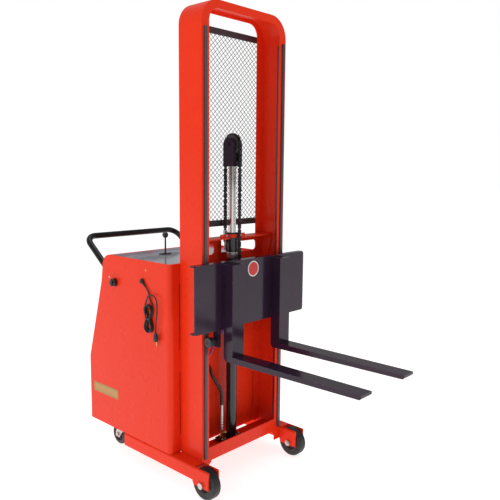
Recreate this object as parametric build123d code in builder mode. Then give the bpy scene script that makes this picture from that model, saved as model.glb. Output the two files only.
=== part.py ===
from build123d import *
from math import cos, radians, sin, tan
import os

os.makedirs("parts", exist_ok=True)

# Counterbalanced walkie stacker, millimetres.  +Z up from the floor, forks point along -Y, the push handle is
# at +Y, and the charger lead hangs on the -X side, which is the operator's right.

# ---- overall ---------------------------------------------------------------------------------------------
overall_length = 1479       # fork tip to the back of the push handle
overall_height = 1940
chassis_width = 600
fork_reach = 600            # fork tip ahead of the front ends of the rails
running_gap = 0.3           # between pieces that roll or slide past each other
shaft_gap = 0.05            # radial, between a shaft and its bore

# ---- base rails and front wheels ---------------------------------------------------------------------------
rail_width = 60
rail_height = 56
rail_length = 547
rail_sheet = 6
rail_bend = 8
axle_edge = 9.5             # from the axle's centre down to the bottom edge of the wheel fork's plates
fork_plate_length = 88
wheel_slot = 81
wheel_diameter = 127
wheel_width = 42
wheel_setback = 40          # axle behind the front end of the rail
hub_diameter = 78
axle_diameter = 16
bolt_head = 24
bolt_head_height = 8

# ---- mast --------------------------------------------------------------------------------------------------
column_lap = 4              # how far each column stands over the inner side of its rail
mast_depth = 130
mast_setback = 95           # mast's front face behind the front ends of the rails
mast_sheet = 4
front_flange = 39
rear_flange = 41
head_front_flange = 32
head_rear_flange = 16
head_radius = 90
head_opening_radius = 50
bar_width = 13
bar_proud = 7
bar_inset = 11.5            # from the outside of the column
bar_foot_gap = 4            # above the rails
bar_head_gap = 108          # below the top of the mast
track_width = 38
track_thickness = 1.5
cross_lip_rise = 44         # the cross member's front lip, above and below the tops of the rails
cross_lip_drop = 13
cross_sheet = 6
cross_depth = 117
cross_gusset = 14

# ---- screen ------------------------------------------------------------------------------------------------
screen_bottom = 1062
screen_head_gap = 65        # below the top of the mast
screen_overlap = 18         # how far the screen laps onto the rear flanges
screen_margin = 26
screen_thickness = 3
diamond_width = 48
diamond_height = 44
strand = 7

# ---- lift cylinder, rod and chain ----------------------------------------------------------------------------
cylinder_setback = 75       # cylinder axis behind the mast's front face
barrel_diameter = 46
barrel_bore = 38
port_block_height = 16
barrel_top = 962
collar_diameter = 52
collar_height = 30
cap_diameter = 56
cap_bottom = 958
cap_top = 1035
rod_diameter = 32
rod_top = 1315
rod_length = 895
piston_height = 30
port_block_length = 110
port_block_width = 56
support_top = 1019
support_bottom = 905
support_sheet = 6
support_front_gap = 1.5     # between the gland cap and the edge of the support's cut-out
support_lip = 12
window_inner = 60
window_outer = 200
window_bottom = 945
window_top = 990
gusset_top_depth = 62
gusset_bottom_depth = 40
chain_pitch_radius = 42
chain_thickness = 10
chain_width = 14
sheave_width = 15
sheave_pin_diameter = 18
sheave_z = 1405
yoke_width = 58
yoke_plate = 12
yoke_depth = 54
stud_diameter = 10
stud_bottom = 958

# ---- carriage and forks ---------------------------------------------------------------------------------------
carriage_width = 656
carriage_top = 941
carriage_bottom = 674
carriage_front_offset = 52.5    # plate's front face ahead of the mast's front face
carriage_depth = 29
carriage_sheet = 6
carriage_corner = 12
fork_gauge = 220            # between the inner edges of the forks
fork_width = 65
shank_depth = 48
shank_top = 934
blade_top = 567
blade_heel_thickness = 24
blade_tip_thickness = 17
roller_diameter = 38
roller_width = 24
roller_pin_diameter = 16
upper_roller_z = 895
lower_roller_z = 625
bracket_sheet = 10
bracket_gap = 9             # between a bracket and the edge of the mast's front opening
anchor_z = 730
anchor_height = 30
anchor_width = 32
anchor_back = 7             # behind the chain's front run, clear of the cylinder clamp
sticker_diameter = 65
sticker_x = -5
sticker_z = 898

# ---- body ------------------------------------------------------------------------------------------------------
body_depth = 581            # from the back of the mast
body_foot_gap = 3           # above the rails
body_top = 925
body_sheet = 3
body_corner = 22
body_slope_start = 432      # height where the rear wall starts to lean forward
body_slope_end = 799
body_slope_run = 106
body_lip_run = 116
body_top_radius = 58
pan_thickness = 6
top_panel_drop = 10
slot_width = 4
lever_x = -62
lever_setback = 313         # behind the front of the body
lever_rise = 78
lever_ball = 28
lever_rod = 8
lever_swing = 12
switch_y_offset = 369
switch_z = 807
knob_diameter = 36
knob_height = 18
switch_stem = 8
label_length = 190
label_height = 44
label_y_offset = 458
label_z = 292

hose_diameter = 10
hose_hole = 15
hose_hole_x = -96
hose_hole_z = 470
return_diameter = 7
return_hole_x = -150
return_hole_z = 452

# ---- push handle ----------------------------------------------------------------------------------------------
handle_tube = 28
handle_height = 985         # centre of the cross bar
handle_inset = 25           # centre of each leg inside the body's side panel
handle_bend = 52
handle_pitch = 37.6         # degrees, rise of the legs
handle_leg = 290            # from the cross bar's corner down to the end in the socket
socket_length = 44
socket_size = handle_tube + 16

# ---- casters ----------------------------------------------------------------------------------------------------
caster_wheel = 100
caster_wheel_width = 32
caster_spacing = 410
caster_setback = 442        # swivel axis behind the front of the body
caster_trail = 36
caster_plate_length = 95
caster_plate_width = 75
caster_plate_thickness = 5
caster_leg = 4
caster_bore = 12

# ---- charger lead -------------------------------------------------------------------------------------------------
cord_diameter = 6
gland_y_offset = 172        # behind the front of the body
gland_z = 837
relief_length = 31
hank_width = 50
hank_height = 122
hank_thickness = 18

# ---- values that follow ------------------------------------------------------------------------------------------
front_y = -overall_length / 2 + fork_reach
handle_y = overall_length / 2 - handle_tube / 2
half_width = chassis_width / 2
rail_inner = half_width - rail_width
rail_top = wheel_diameter
rail_bottom = rail_top - rail_height
wheel_radius = wheel_diameter / 2
fork_plate_drop = rail_bottom - wheel_radius + axle_edge
wheel_y = front_y + wheel_setback
wheel_x = half_width - rail_width / 2
mast_front = front_y + mast_setback
mast_rear = mast_front + mast_depth
mast_half = rail_inner + column_lap
mast_width = 2 * mast_half
web_inner = mast_half - mast_sheet
front_opening = mast_half - front_flange
rear_opening = mast_half - rear_flange
bar_outer = mast_half - bar_inset
bar_front = mast_front - bar_proud
bar_bottom = rail_top + bar_foot_gap
bar_top = overall_height - bar_head_gap
cross_lip_top = rail_top + cross_lip_rise
cross_lip_bottom = rail_top - cross_lip_drop
screen_top = overall_height - screen_head_gap
barrel_bottom = rail_top + port_block_height
bracket_x = front_opening - bracket_gap - bracket_sheet
cylinder_y = mast_front + cylinder_setback
front_run_y = cylinder_y - chain_pitch_radius
rear_run_y = cylinder_y + chain_pitch_radius
plate_front = mast_front - carriage_front_offset
plate_back = plate_front + carriage_sheet
shank_front = plate_front - shank_depth
fork_tip_y = -overall_length / 2
blade_bottom = blade_top - blade_heel_thickness
fork_inner = fork_gauge / 2
fork_outer = fork_inner + fork_width
body_front = mast_rear
body_rear = body_front + body_depth
body_bottom = rail_top + body_foot_gap
pan_top = rail_top + pan_thickness
panel_inner = half_width - body_sheet
handle_half_width = panel_inner - handle_inset
top_panel_z = body_top - top_panel_drop
caster_y = body_front + caster_setback
caster_radius = caster_wheel / 2
switch_y = body_front + switch_y_offset
gland_y = body_front + gland_y_offset
SIDES = (("right", -1), ("left", 1))


def write(part, name):
    """Labels a finished piece and writes it as its own STEP file."""
    part.label = name
    export_step(part, f"parts/{name}.step")


def block(x, y, z, mode=Mode.ADD):
    """A box between two values on each axis, in whatever part is being built."""
    with Locations(((x[0] + x[1]) / 2, (y[0] + y[1]) / 2, (z[0] + z[1]) / 2)):
        Box(abs(x[1] - x[0]), abs(y[1] - y[0]), abs(z[1] - z[0]), mode=mode)


def shaft(x, y, z, radius, mode=Mode.ADD):
    """A round bar along X between two x values."""
    with Locations(Location(((x[0] + x[1]) / 2, y, z), (0, 90, 0))):
        Cylinder(radius, abs(x[1] - x[0]), mode=mode)


def post(x, y, z, radius, mode=Mode.ADD):
    """A round bar along Z between two heights."""
    with Locations((x, y, (z[0] + z[1]) / 2)):
        Cylinder(radius, abs(z[1] - z[0]), mode=mode)


def twin(part):
    """The same piece on the other side of the machine."""
    with BuildPart() as other:
        mirror(part, about=Plane.YZ)
    return other.part


def bend_radii(points):
    """The largest radius that each corner of a cord's route has room for."""
    found = []
    for before, here, after in zip(points, points[1:], points[2:]):
        run_in = Vector(*here) - Vector(*before)
        run_out = Vector(*after) - Vector(*here)
        turn = radians(run_in.get_angle(run_out))
        found.append(0.45 * min(run_in.length, run_out.length) / tan(turn / 2))
    return found


def tube(points, diameter, name, radii=None):
    """A round tube of straight runs and tangent arcs, written under its own name."""
    radii = radii or bend_radii(points)
    with BuildPart() as run:
        with BuildLine() as route:
            FilletPolyline(*points, radius=radii)
        path = route.wire()
        with BuildSketch(Plane(origin=path @ 0, z_dir=path % 0)):
            Circle(diameter / 2)
        sweep()
    section = 3.14159265 * diameter ** 2 / 4
    ratio = run.part.volume / (section * path.length)
    print(name, "length", round(path.length, 1), "volume ratio", round(ratio, 4),
          "radii", [round(r, 1) for r in radii])
    write(run.part, name)


# ==== base ===========================================================================================================

with BuildPart() as base_rail:
    with BuildSketch(Plane.XZ.offset(-front_y)):
        with Locations((-wheel_x, rail_top - rail_height / 2)):
            outline = Rectangle(rail_width, rail_height)
        fillet(outline.vertices().group_by(Axis.Y)[-1], rail_bend)
        with Locations((-wheel_x, rail_top - rail_height / 2 - rail_sheet)):
            Rectangle(rail_width - 2 * rail_sheet, rail_height, mode=Mode.SUBTRACT)
    extrude(amount=-rail_length)
    for plate in (-half_width, -rail_inner - rail_sheet):
        with BuildSketch(Plane.YZ.offset(plate)):
            with BuildLine():
                Polyline(
                    (front_y, rail_bottom),
                    (front_y, rail_bottom - fork_plate_drop),
                    (front_y + fork_plate_length - 4, rail_bottom - fork_plate_drop),
                    (front_y + fork_plate_length, rail_bottom - fork_plate_drop + 4),
                    (front_y + fork_plate_length + 5, rail_bottom),
                    close=True,
                )
            make_face()
        extrude(amount=rail_sheet)
    block(
        (-half_width + rail_sheet, -rail_inner - rail_sheet),
        (front_y, front_y + wheel_slot),
        (rail_bottom, rail_top),
        Mode.SUBTRACT,
    )
    block(
        (-half_width + rail_sheet, -rail_inner - rail_sheet),
        (front_y + rail_length - rail_sheet, front_y + rail_length),
        (rail_bottom, rail_top - rail_sheet),
    )
    shaft((-half_width - 1, -rail_inner + 1), wheel_y, wheel_radius, axle_diameter / 2 + 0.1, Mode.SUBTRACT)

write(base_rail.part, "base_rail_right")
write(twin(base_rail.part), "base_rail_left")

with BuildPart() as cross_member:
    block(
        (-front_opening, front_opening),
        (mast_front, mast_front + cross_sheet),
        (cross_lip_bottom, cross_lip_top),
    )
    block(
        (-web_inner, web_inner),
        (mast_front + mast_sheet, mast_front + cross_sheet),
        (rail_top - cross_sheet, cross_lip_top),
    )
    block(
        (-rail_inner, rail_inner),
        (mast_front + mast_sheet, mast_front + cross_depth),
        (rail_top - cross_sheet, rail_top),
    )
    for side, sign in SIDES:
        corner = sign * front_opening
        with BuildSketch(Plane.XZ.offset(-mast_front)):
            with BuildLine():
                Line((corner, cross_lip_bottom), (corner, cross_lip_bottom - cross_gusset))
                RadiusArc(
                    (corner, cross_lip_bottom - cross_gusset),
                    (corner - sign * cross_gusset, cross_lip_bottom),
                    sign * cross_gusset,
                )
                Line((corner - sign * cross_gusset, cross_lip_bottom), (corner, cross_lip_bottom))
            make_face()
        extrude(amount=-cross_sheet)

write(cross_member.part, "front_cross_member")

with BuildPart() as floor_pan:
    block((-panel_inner, panel_inner), (body_front + body_sheet, body_rear - body_sheet), (rail_top, pan_top))
    fillet(floor_pan.edges().filter_by(Axis.Z).group_by(Axis.Y)[0], body_corner - body_sheet)
    with Locations((0, body_front + 160, pan_top)):
        Hole(radius=14, depth=pan_thickness * 2)

write(floor_pan.part, "floor_pan")

# ==== front wheels =====================================================================================================

with BuildPart() as tyre:
    with BuildSketch(Plane.YZ.offset(-wheel_x - wheel_width / 2)):
        with Locations((wheel_y, wheel_radius)):
            Circle(wheel_radius)
            Circle(hub_diameter / 2, mode=Mode.SUBTRACT)
    extrude(amount=wheel_width)
    fillet(tyre.edges().filter_by(GeomType.CIRCLE).sort_by(SortBy.RADIUS)[-2:], 6)

write(tyre.part, "front_tyre_right")
write(twin(tyre.part), "front_tyre_left")

hub_length = rail_width - 2 * rail_sheet - 2 * running_gap
with BuildPart() as hub:
    shaft(
        (-wheel_x - wheel_width / 2 + 2, -wheel_x + wheel_width / 2 - 2), wheel_y, wheel_radius, hub_diameter / 2
    )
    for end in (-1, 1):
        recess = -wheel_x + end * (wheel_width / 2 - 7)
        face = -wheel_x + end * (wheel_width / 2)
        shaft((recess, face), wheel_y, wheel_radius, hub_diameter / 2 - 7, Mode.SUBTRACT)
    shaft((-wheel_x - hub_length / 2, -wheel_x + hub_length / 2), wheel_y, wheel_radius, 15)
    shaft((-half_width, -rail_inner), wheel_y, wheel_radius, axle_diameter / 2 + shaft_gap, Mode.SUBTRACT)

write(hub.part, "front_hub_right")
write(twin(hub.part), "front_hub_left")

with BuildPart() as axle_bolt:
    shaft((-half_width, -rail_inner), wheel_y, wheel_radius, axle_diameter / 2)
    for face, way in ((-half_width, -1), (-rail_inner, 1)):
        with BuildSketch(Plane.YZ.offset(face)):
            with Locations((wheel_y, wheel_radius)):
                RegularPolygon(bolt_head / 2, 6, major_radius=False)
        extrude(amount=way * bolt_head_height)
    shaft((-rail_inner, -rail_inner + bolt_head_height + 4), wheel_y, wheel_radius, axle_diameter / 2)

with BuildPart() as front_axles:
    add(axle_bolt.part)
    mirror(axle_bolt.part, about=Plane.YZ)

write(front_axles.part, "front_axles")

# ==== rear casters =====================================================================================================

caster_top = rail_top - caster_plate_thickness
raceway_bottom = caster_radius * 2 + 9
wheel_center_y = caster_y + caster_trail
with BuildPart() as caster_plates:
    for side, sign in SIDES:
        caster_x = sign * caster_spacing / 2
        with BuildSketch(Plane.XY.offset(caster_top)):
            with Locations((caster_x, caster_y)):
                RectangleRounded(caster_plate_width, caster_plate_length, 8)
                with GridLocations(caster_plate_width - 22, caster_plate_length - 22, 2, 2):
                    Circle(4.5, mode=Mode.SUBTRACT)
        extrude(amount=caster_plate_thickness)
        post(caster_x, caster_y, (raceway_bottom + 4, caster_top), 27)
        post(caster_x, caster_y, (raceway_bottom - 6, raceway_bottom + 4), 8)

write(caster_plates.part, "caster_plates")

for side, sign in SIDES:
    caster_x = sign * caster_spacing / 2
    leg_inner = caster_wheel_width / 2 + 2
    with BuildPart() as caster_fork:
        post(caster_x, caster_y, (raceway_bottom - caster_leg, raceway_bottom + 3.6), 31)
        post(caster_x, caster_y, (raceway_bottom - 8, raceway_bottom + 4), 8 + shaft_gap, Mode.SUBTRACT)
        for leg in (-1, 1):
            inner = caster_x + leg * leg_inner
            start = inner if leg > 0 else inner - caster_leg
            with BuildSketch(Plane.YZ.offset(start)):
                with BuildLine():
                    Polyline(
                        (caster_y - 24, raceway_bottom),
                        (caster_y + 26, raceway_bottom),
                        (wheel_center_y + 16, caster_radius + 6),
                        (wheel_center_y + 14, caster_radius - 12),
                        (wheel_center_y - 12, caster_radius - 14),
                        (wheel_center_y - 20, caster_radius),
                        (caster_y - 24, raceway_bottom - 12),
                        close=True,
                    )
                make_face()
            extrude(amount=caster_leg)
        shaft(
            (caster_x - leg_inner - caster_leg - 5, caster_x + leg_inner + caster_leg + 5),
            wheel_center_y, caster_radius, caster_bore / 2,
        )
        for end in (-1, 1):
            face = caster_x + end * (leg_inner + caster_leg)
            with BuildSketch(Plane.YZ.offset(face)):
                with Locations((wheel_center_y, caster_radius)):
                    RegularPolygon(9, 6, major_radius=False)
            extrude(amount=end * 5)
    write(caster_fork.part, f"caster_fork_{side}")

    with BuildPart() as wheel:
        shaft(
            (caster_x - caster_wheel_width / 2, caster_x + caster_wheel_width / 2),
            wheel_center_y, caster_radius, caster_radius,
        )
        fillet(wheel.edges().filter_by(GeomType.CIRCLE), 5)
        for end in (-1, 1):
            near = caster_x + end * (caster_wheel_width / 2 - 6)
            face = caster_x + end * caster_wheel_width / 2
            shaft((near, face), wheel_center_y, caster_radius, 32, Mode.SUBTRACT)
            shaft((near, caster_x + end * (leg_inner - running_gap)), wheel_center_y, caster_radius, 13)
        shaft(
            (caster_x - leg_inner, caster_x + leg_inner),
            wheel_center_y, caster_radius, caster_bore / 2 + shaft_gap, Mode.SUBTRACT,
        )
    write(wheel.part, f"caster_wheel_{side}")

# ==== mast ==============================================================================================================

head_bottom = overall_height - head_radius
with BuildPart() as mast_frame:
    with BuildSketch(Plane.XZ.offset(-mast_front)):
        with Locations((0, (rail_top + overall_height) / 2)):
            shape = Rectangle(mast_width, overall_height - rail_top)
        fillet(shape.vertices().group_by(Axis.Y)[-1], head_radius)
    extrude(amount=-mast_depth)
    with BuildSketch(Plane.XZ.offset(-mast_front - mast_sheet)):
        with Locations((0, (rail_top + overall_height) / 2 - mast_sheet)):
            cavity = Rectangle(2 * web_inner, overall_height - rail_top)
        fillet(cavity.vertices().group_by(Axis.Y)[-1], head_radius - mast_sheet)
    extrude(amount=-(mast_depth - 2 * mast_sheet), mode=Mode.SUBTRACT)
    openings = (
        (mast_front, front_opening, overall_height - head_front_flange),
        (mast_rear - mast_sheet, rear_opening, overall_height - head_rear_flange),
    )
    for face, opening, lintel in openings:
        with BuildSketch(Plane.XZ.offset(-face)):
            with Locations((0, (rail_top - 10 + lintel) / 2)):
                gate = Rectangle(2 * opening, lintel - rail_top + 10)
            fillet(gate.vertices().group_by(Axis.Y)[-1], head_opening_radius)
        extrude(amount=-mast_sheet, mode=Mode.SUBTRACT)
    for side, sign in SIDES:
        block(
            (sign * front_opening, sign * rail_inner),
            (mast_front, mast_front + mast_sheet),
            (rail_bottom, rail_top),
        )

write(mast_frame.part, "mast_frame")

with BuildPart() as roller_steels:
    for side, sign in SIDES:
        block(
            (sign * (bar_outer - bar_width), sign * bar_outer),
            (bar_front, mast_front),
            (bar_bottom, bar_top),
        )
        block(
            (sign * (web_inner - track_thickness), sign * web_inner),
            (mast_front + mast_sheet, mast_front + mast_sheet + track_width),
            (cross_lip_top + 4, bar_top),
        )

write(roller_steels.part, "roller_steels")

screen_half = rear_opening + screen_overlap
mesh_bottom = screen_bottom + screen_margin
mesh_top = screen_top - screen_margin
columns = round(2 * rear_opening / diamond_width)
rows = round((mesh_top - mesh_bottom) / diamond_height)
pitch_x = 2 * rear_opening / columns
pitch_z = (mesh_top - mesh_bottom) / rows
hole_x = pitch_x - strand
hole_z = pitch_z - strand
with BuildPart() as mast_screen:
    with BuildSketch(Plane.XZ.offset(-mast_rear)):
        with Locations((0, (screen_bottom + screen_top) / 2)):
            Rectangle(2 * screen_half, screen_top - screen_bottom)
        with Locations((0, (mesh_bottom + mesh_top) / 2)):
            with GridLocations(pitch_x, pitch_z, columns, rows):
                with BuildLine():
                    Polyline((hole_x / 2, 0), (0, hole_z / 2), (-hole_x / 2, 0), (0, -hole_z / 2), close=True)
                make_face(mode=Mode.SUBTRACT)
            with GridLocations(pitch_x, pitch_z, columns - 1, rows - 1):
                with BuildLine():
                    Polyline((hole_x / 2, 0), (0, hole_z / 2), (-hole_x / 2, 0), (0, -hole_z / 2), close=True)
                make_face(mode=Mode.SUBTRACT)
    extrude(amount=-screen_thickness)

write(mast_screen.part, "mast_screen")

# ==== cylinder support, cylinder, hydraulics ===============================================================================

support_back = mast_rear - mast_sheet
support_face = support_back - support_sheet
shelf_front = support_face - gusset_top_depth
with BuildPart() as cylinder_support:
    block((-web_inner, web_inner), (support_face, support_back), (support_bottom, support_top))
    block((-web_inner, web_inner), (shelf_front, support_face), (support_top - support_sheet, support_top))
    with BuildSketch(Plane.XZ.offset(-support_face)):
        for side, sign in SIDES:
            with Locations((sign * (window_inner + window_outer) / 2, (window_bottom + window_top) / 2)):
                RectangleRounded(window_outer - window_inner, window_top - window_bottom, 18)
        with Locations((0, (support_bottom + 45 + support_top - support_sheet) / 2)):
            Rectangle(40, support_top - support_sheet - support_bottom - 45)
    extrude(amount=-support_sheet, mode=Mode.SUBTRACT)
    for side, sign in SIDES:
        start = web_inner - support_sheet if sign > 0 else -web_inner
        with BuildSketch(Plane.YZ.offset(start)):
            with BuildLine():
                Polyline(
                    (support_face, support_bottom),
                    (support_face - gusset_bottom_depth, support_bottom),
                    (shelf_front, support_top),
                    (support_face, support_top),
                    close=True,
                )
            make_face()
        extrude(amount=support_sheet)
    post(0, cylinder_y, (support_bottom, support_top + 1), cap_diameter / 2 + support_front_gap, Mode.SUBTRACT)
    block(
        (-cap_diameter / 2 - support_front_gap, cap_diameter / 2 + support_front_gap),
        (shelf_front - 1, cylinder_y),
        (support_top - support_sheet, support_top),
        Mode.SUBTRACT,
    )
    post(0, rear_run_y, (support_bottom, support_top), stud_diameter / 2, Mode.SUBTRACT)

write(cylinder_support.part, "cylinder_support")

with BuildPart() as clamp_strap:
    with BuildSketch(Plane.XY.offset(support_top)):
        with Locations((0, cylinder_y)):
            Circle(cap_diameter / 2 + 5)
            Circle(cap_diameter / 2, mode=Mode.SUBTRACT)
        with Locations((0, cylinder_y + cap_diameter / 2)):
            Rectangle(cap_diameter + 40, cap_diameter, mode=Mode.SUBTRACT)
        for side, sign in SIDES:
            with Locations((sign * (cap_diameter / 2 + 22), cylinder_y - 3)):
                Rectangle(44, 6)
    extrude(amount=14)

write(clamp_strap.part, "cylinder_clamp")

with BuildPart() as barrel:
    post(0, cylinder_y, (barrel_bottom, barrel_top - 4), barrel_diameter / 2)
    post(0, cylinder_y, (cap_bottom - collar_height, cap_bottom), collar_diameter / 2)
    post(0, cylinder_y, (barrel_bottom + 8, barrel_top), barrel_bore / 2, Mode.SUBTRACT)

write(barrel.part, "cylinder_barrel")

with BuildPart() as gland_cap:
    post(0, cylinder_y, (cap_bottom, cap_top), cap_diameter / 2)
    chamfer(gland_cap.edges().group_by(Axis.Z)[-1], 2)
    post(0, cylinder_y, (cap_bottom, cap_top), rod_diameter / 2 + shaft_gap, Mode.SUBTRACT)

write(gland_cap.part, "gland_cap")

port_left = -port_block_length + 36
port_x = -56
hose_top = 292
with BuildPart() as port_block:
    block(
        (port_left, port_left + port_block_length),
        (cylinder_y - port_block_width / 2, cylinder_y + port_block_width / 2),
        (rail_top, barrel_bottom),
    )
    post(port_x, cylinder_y + 4, (barrel_bottom, barrel_bottom + 22), 9)
    post(port_x, cylinder_y + 4, (barrel_bottom + 22, barrel_bottom + 34), 5.5)
    post(port_x, cylinder_y + 4, (barrel_bottom + 34, hose_top), 7.5)

write(port_block.part, "port_block")

# ==== rod, yoke, sheave and chain ==========================================================================================

with BuildPart() as piston_rod:
    post(0, cylinder_y, (rod_top - rod_length, rod_top), rod_diameter / 2)
    post(
        0, cylinder_y, (rod_top - rod_length, rod_top - rod_length + piston_height),
        barrel_bore / 2 - shaft_gap,
    )

write(piston_rod.part, "piston_rod")

yoke_inner = yoke_width / 2 - yoke_plate
with BuildPart() as yoke:
    block(
        (-yoke_width / 2, yoke_width / 2),
        (cylinder_y - yoke_depth / 2, cylinder_y + yoke_depth / 2),
        (rod_top, rod_top + 22),
    )
    for sign in (-1, 1):
        start = yoke_inner if sign > 0 else -yoke_width / 2
        with BuildSketch(Plane.YZ.offset(start)):
            with Locations((cylinder_y, sheave_z)):
                Circle(yoke_depth / 2)
            with Locations((cylinder_y, (rod_top + sheave_z) / 2)):
                Rectangle(yoke_depth, sheave_z - rod_top)
        extrude(amount=yoke_plate)
    shaft((-yoke_width / 2 - 6, yoke_width / 2 + 6), cylinder_y, sheave_z, sheave_pin_diameter / 2)

write(yoke.part, "rod_yoke")

sheave_radius = chain_pitch_radius - chain_thickness / 2
with BuildPart() as sheave:
    shaft((-sheave_width / 2, sheave_width / 2), cylinder_y, sheave_z, sheave_radius)
    for sign in (-1, 1):
        shaft(
            (sign * sheave_width / 2, sign * (sheave_width / 2 + 3)),
            cylinder_y, sheave_z, sheave_radius + 4,
        )
        shaft(
            (sign * (sheave_width / 2 + 3), sign * (yoke_inner - running_gap)),
            cylinder_y, sheave_z, 15,
        )
    shaft((-yoke_inner, yoke_inner), cylinder_y, sheave_z, sheave_pin_diameter / 2 + shaft_gap, Mode.SUBTRACT)

write(sheave.part, "chain_sheave")

with BuildPart() as chain_wrap:
    with BuildSketch(Plane.YZ.offset(-chain_width / 2)):
        with Locations((cylinder_y, sheave_z)):
            Circle(chain_pitch_radius + chain_thickness / 2)
            Circle(sheave_radius + running_gap, mode=Mode.SUBTRACT)
        with Locations((cylinder_y, sheave_z - chain_pitch_radius)):
            Rectangle(4 * chain_pitch_radius, 2 * chain_pitch_radius, mode=Mode.SUBTRACT)
    extrude(amount=chain_width)

write(chain_wrap.part, "chain_wrap")

with BuildPart() as chain_front:
    block(
        (-chain_width / 2, chain_width / 2),
        (front_run_y - chain_thickness / 2, front_run_y + chain_thickness / 2 - running_gap),
        (anchor_z, sheave_z),
    )

write(chain_front.part, "chain_front")

stud_top = support_top + 26
with BuildPart() as chain_rear:
    block(
        (-chain_width / 2, chain_width / 2),
        (rear_run_y - chain_thickness / 2 + running_gap, rear_run_y + chain_thickness / 2),
        (stud_top, sheave_z),
    )

write(chain_rear.part, "chain_rear")

with BuildPart() as chain_stud:
    post(0, rear_run_y, (stud_bottom, stud_top - 16), stud_diameter / 2)
    block((-9, 9), (rear_run_y - 5, rear_run_y + 5), (stud_top - 16, stud_top))
    for nut_z in (support_top, support_top - support_sheet - 8, support_top - support_sheet - 18):
        with BuildSketch(Plane.XY.offset(nut_z)):
            with Locations((0, rear_run_y)):
                RegularPolygon(8, 6, major_radius=False)
        extrude(amount=8)

write(chain_stud.part, "chain_stud")

# ==== carriage and forks ======================================================================================================

with BuildPart() as carriage_plate:
    with BuildSketch(Plane.XZ.offset(-plate_front)):
        with Locations((0, (carriage_top + carriage_bottom) / 2)):
            RectangleRounded(carriage_width, carriage_top - carriage_bottom, carriage_corner)
    extrude(amount=-carriage_sheet)
    for low in (carriage_bottom, carriage_top - carriage_sheet):
        with BuildSketch(Plane.XY.offset(low)):
            with BuildLine():
                Polyline(
                    (-carriage_width / 2 + carriage_corner, plate_front),
                    (-carriage_width / 2 + carriage_corner, plate_back),
                    (-carriage_width / 2, plate_back),
                    (-carriage_width / 2, plate_front + carriage_depth),
                    (carriage_width / 2, plate_front + carriage_depth),
                    (carriage_width / 2, plate_back),
                    (carriage_width / 2 - carriage_corner, plate_back),
                    (carriage_width / 2 - carriage_corner, plate_front),
                    close=True,
                )
            make_face()
        extrude(amount=carriage_sheet)
    block(
        (-anchor_width / 2, anchor_width / 2),
        (plate_back, front_run_y + anchor_back),
        (anchor_z - anchor_height, anchor_z),
    )

write(carriage_plate.part, "carriage_plate")

with BuildPart() as fork:
    with BuildSketch(Plane.YZ.offset(-fork_outer)):
        with BuildLine():
            Polyline(
                (plate_front, shank_top),
                (shank_front, shank_top),
                (shank_front, blade_top),
                (fork_tip_y, blade_top),
                (fork_tip_y, blade_top - blade_tip_thickness),
                (shank_front, blade_bottom),
                (plate_front - 10, blade_bottom),
                (plate_front, blade_bottom + 10),
                close=True,
            )
        make_face()
    extrude(amount=fork_width)
    chamfer(fork.edges().filter_by(Axis.X).group_by(Axis.Y)[0].sort_by(Axis.Z)[0], 7)

write(fork.part, "fork_right")
write(twin(fork.part), "fork_left")

roller_radius = roller_diameter / 2
upper_y = mast_front + mast_sheet + roller_radius + running_gap
lower_y = bar_front - roller_radius - running_gap
upper_roller_x = web_inner - track_thickness - 3 - roller_width / 2
lower_roller_x = bar_outer - bar_width / 2
bracket_back = upper_y + 18
for side, sign in SIDES:
    inner = sign * bracket_x
    outer = sign * (bracket_x + bracket_sheet)
    roller_faces = (lower_roller_x - roller_width / 2, lower_roller_x + roller_width / 2)
    with BuildPart() as bracket:
        block((inner, outer), (plate_back, bracket_back), (upper_roller_z - 30, upper_roller_z + 30))
        block(
            (inner, outer),
            (plate_back, plate_front + carriage_depth + 20),
            (carriage_bottom + carriage_sheet, upper_roller_z - 30),
        )
        block(
            (inner, outer),
            (plate_back, lower_y + 12),
            (lower_roller_z - 24, carriage_bottom),
        )
        shaft(
            (outer, sign * (upper_roller_x + roller_width / 2 + 1.5)),
            upper_y, upper_roller_z, roller_pin_diameter / 2,
        )
        shaft(
            (outer, sign * (roller_faces[0] - running_gap)),
            lower_y, lower_roller_z, 13,
        )
        shaft(
            (outer, sign * (roller_faces[1] - 1)),
            lower_y, lower_roller_z, roller_pin_diameter / 2,
        )
        shaft(
            (outer, sign * (upper_roller_x - roller_width / 2 - running_gap)),
            upper_y, upper_roller_z, 12,
        )
    write(bracket.part, f"roller_bracket_{side}")

    for level, x, y, z in (
        ("upper", upper_roller_x, upper_y, upper_roller_z),
        ("lower", lower_roller_x, lower_y, lower_roller_z),
    ):
        with BuildPart() as roller:
            shaft((sign * (x - roller_width / 2), sign * (x + roller_width / 2)), y, z, roller_radius)
            fillet(roller.edges().filter_by(GeomType.CIRCLE), 1.5)
            shaft(
                (sign * (x - roller_width / 2), sign * (x + roller_width / 2)),
                y, z, roller_pin_diameter / 2 + shaft_gap, Mode.SUBTRACT,
            )
        write(roller.part, f"{level}_roller_{side}")

with BuildPart() as sticker:
    with BuildSketch(Plane.XZ.offset(-plate_front)):
        with Locations((sticker_x, sticker_z)):
            Circle(sticker_diameter / 2)
    extrude(amount=0.8)

write(sticker.part, "carriage_disc")

# ==== body ========================================================================================================================

slope_top_y = body_rear - body_slope_run
lip_top_y = body_rear - body_lip_run
lip_top_z = 866


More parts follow.
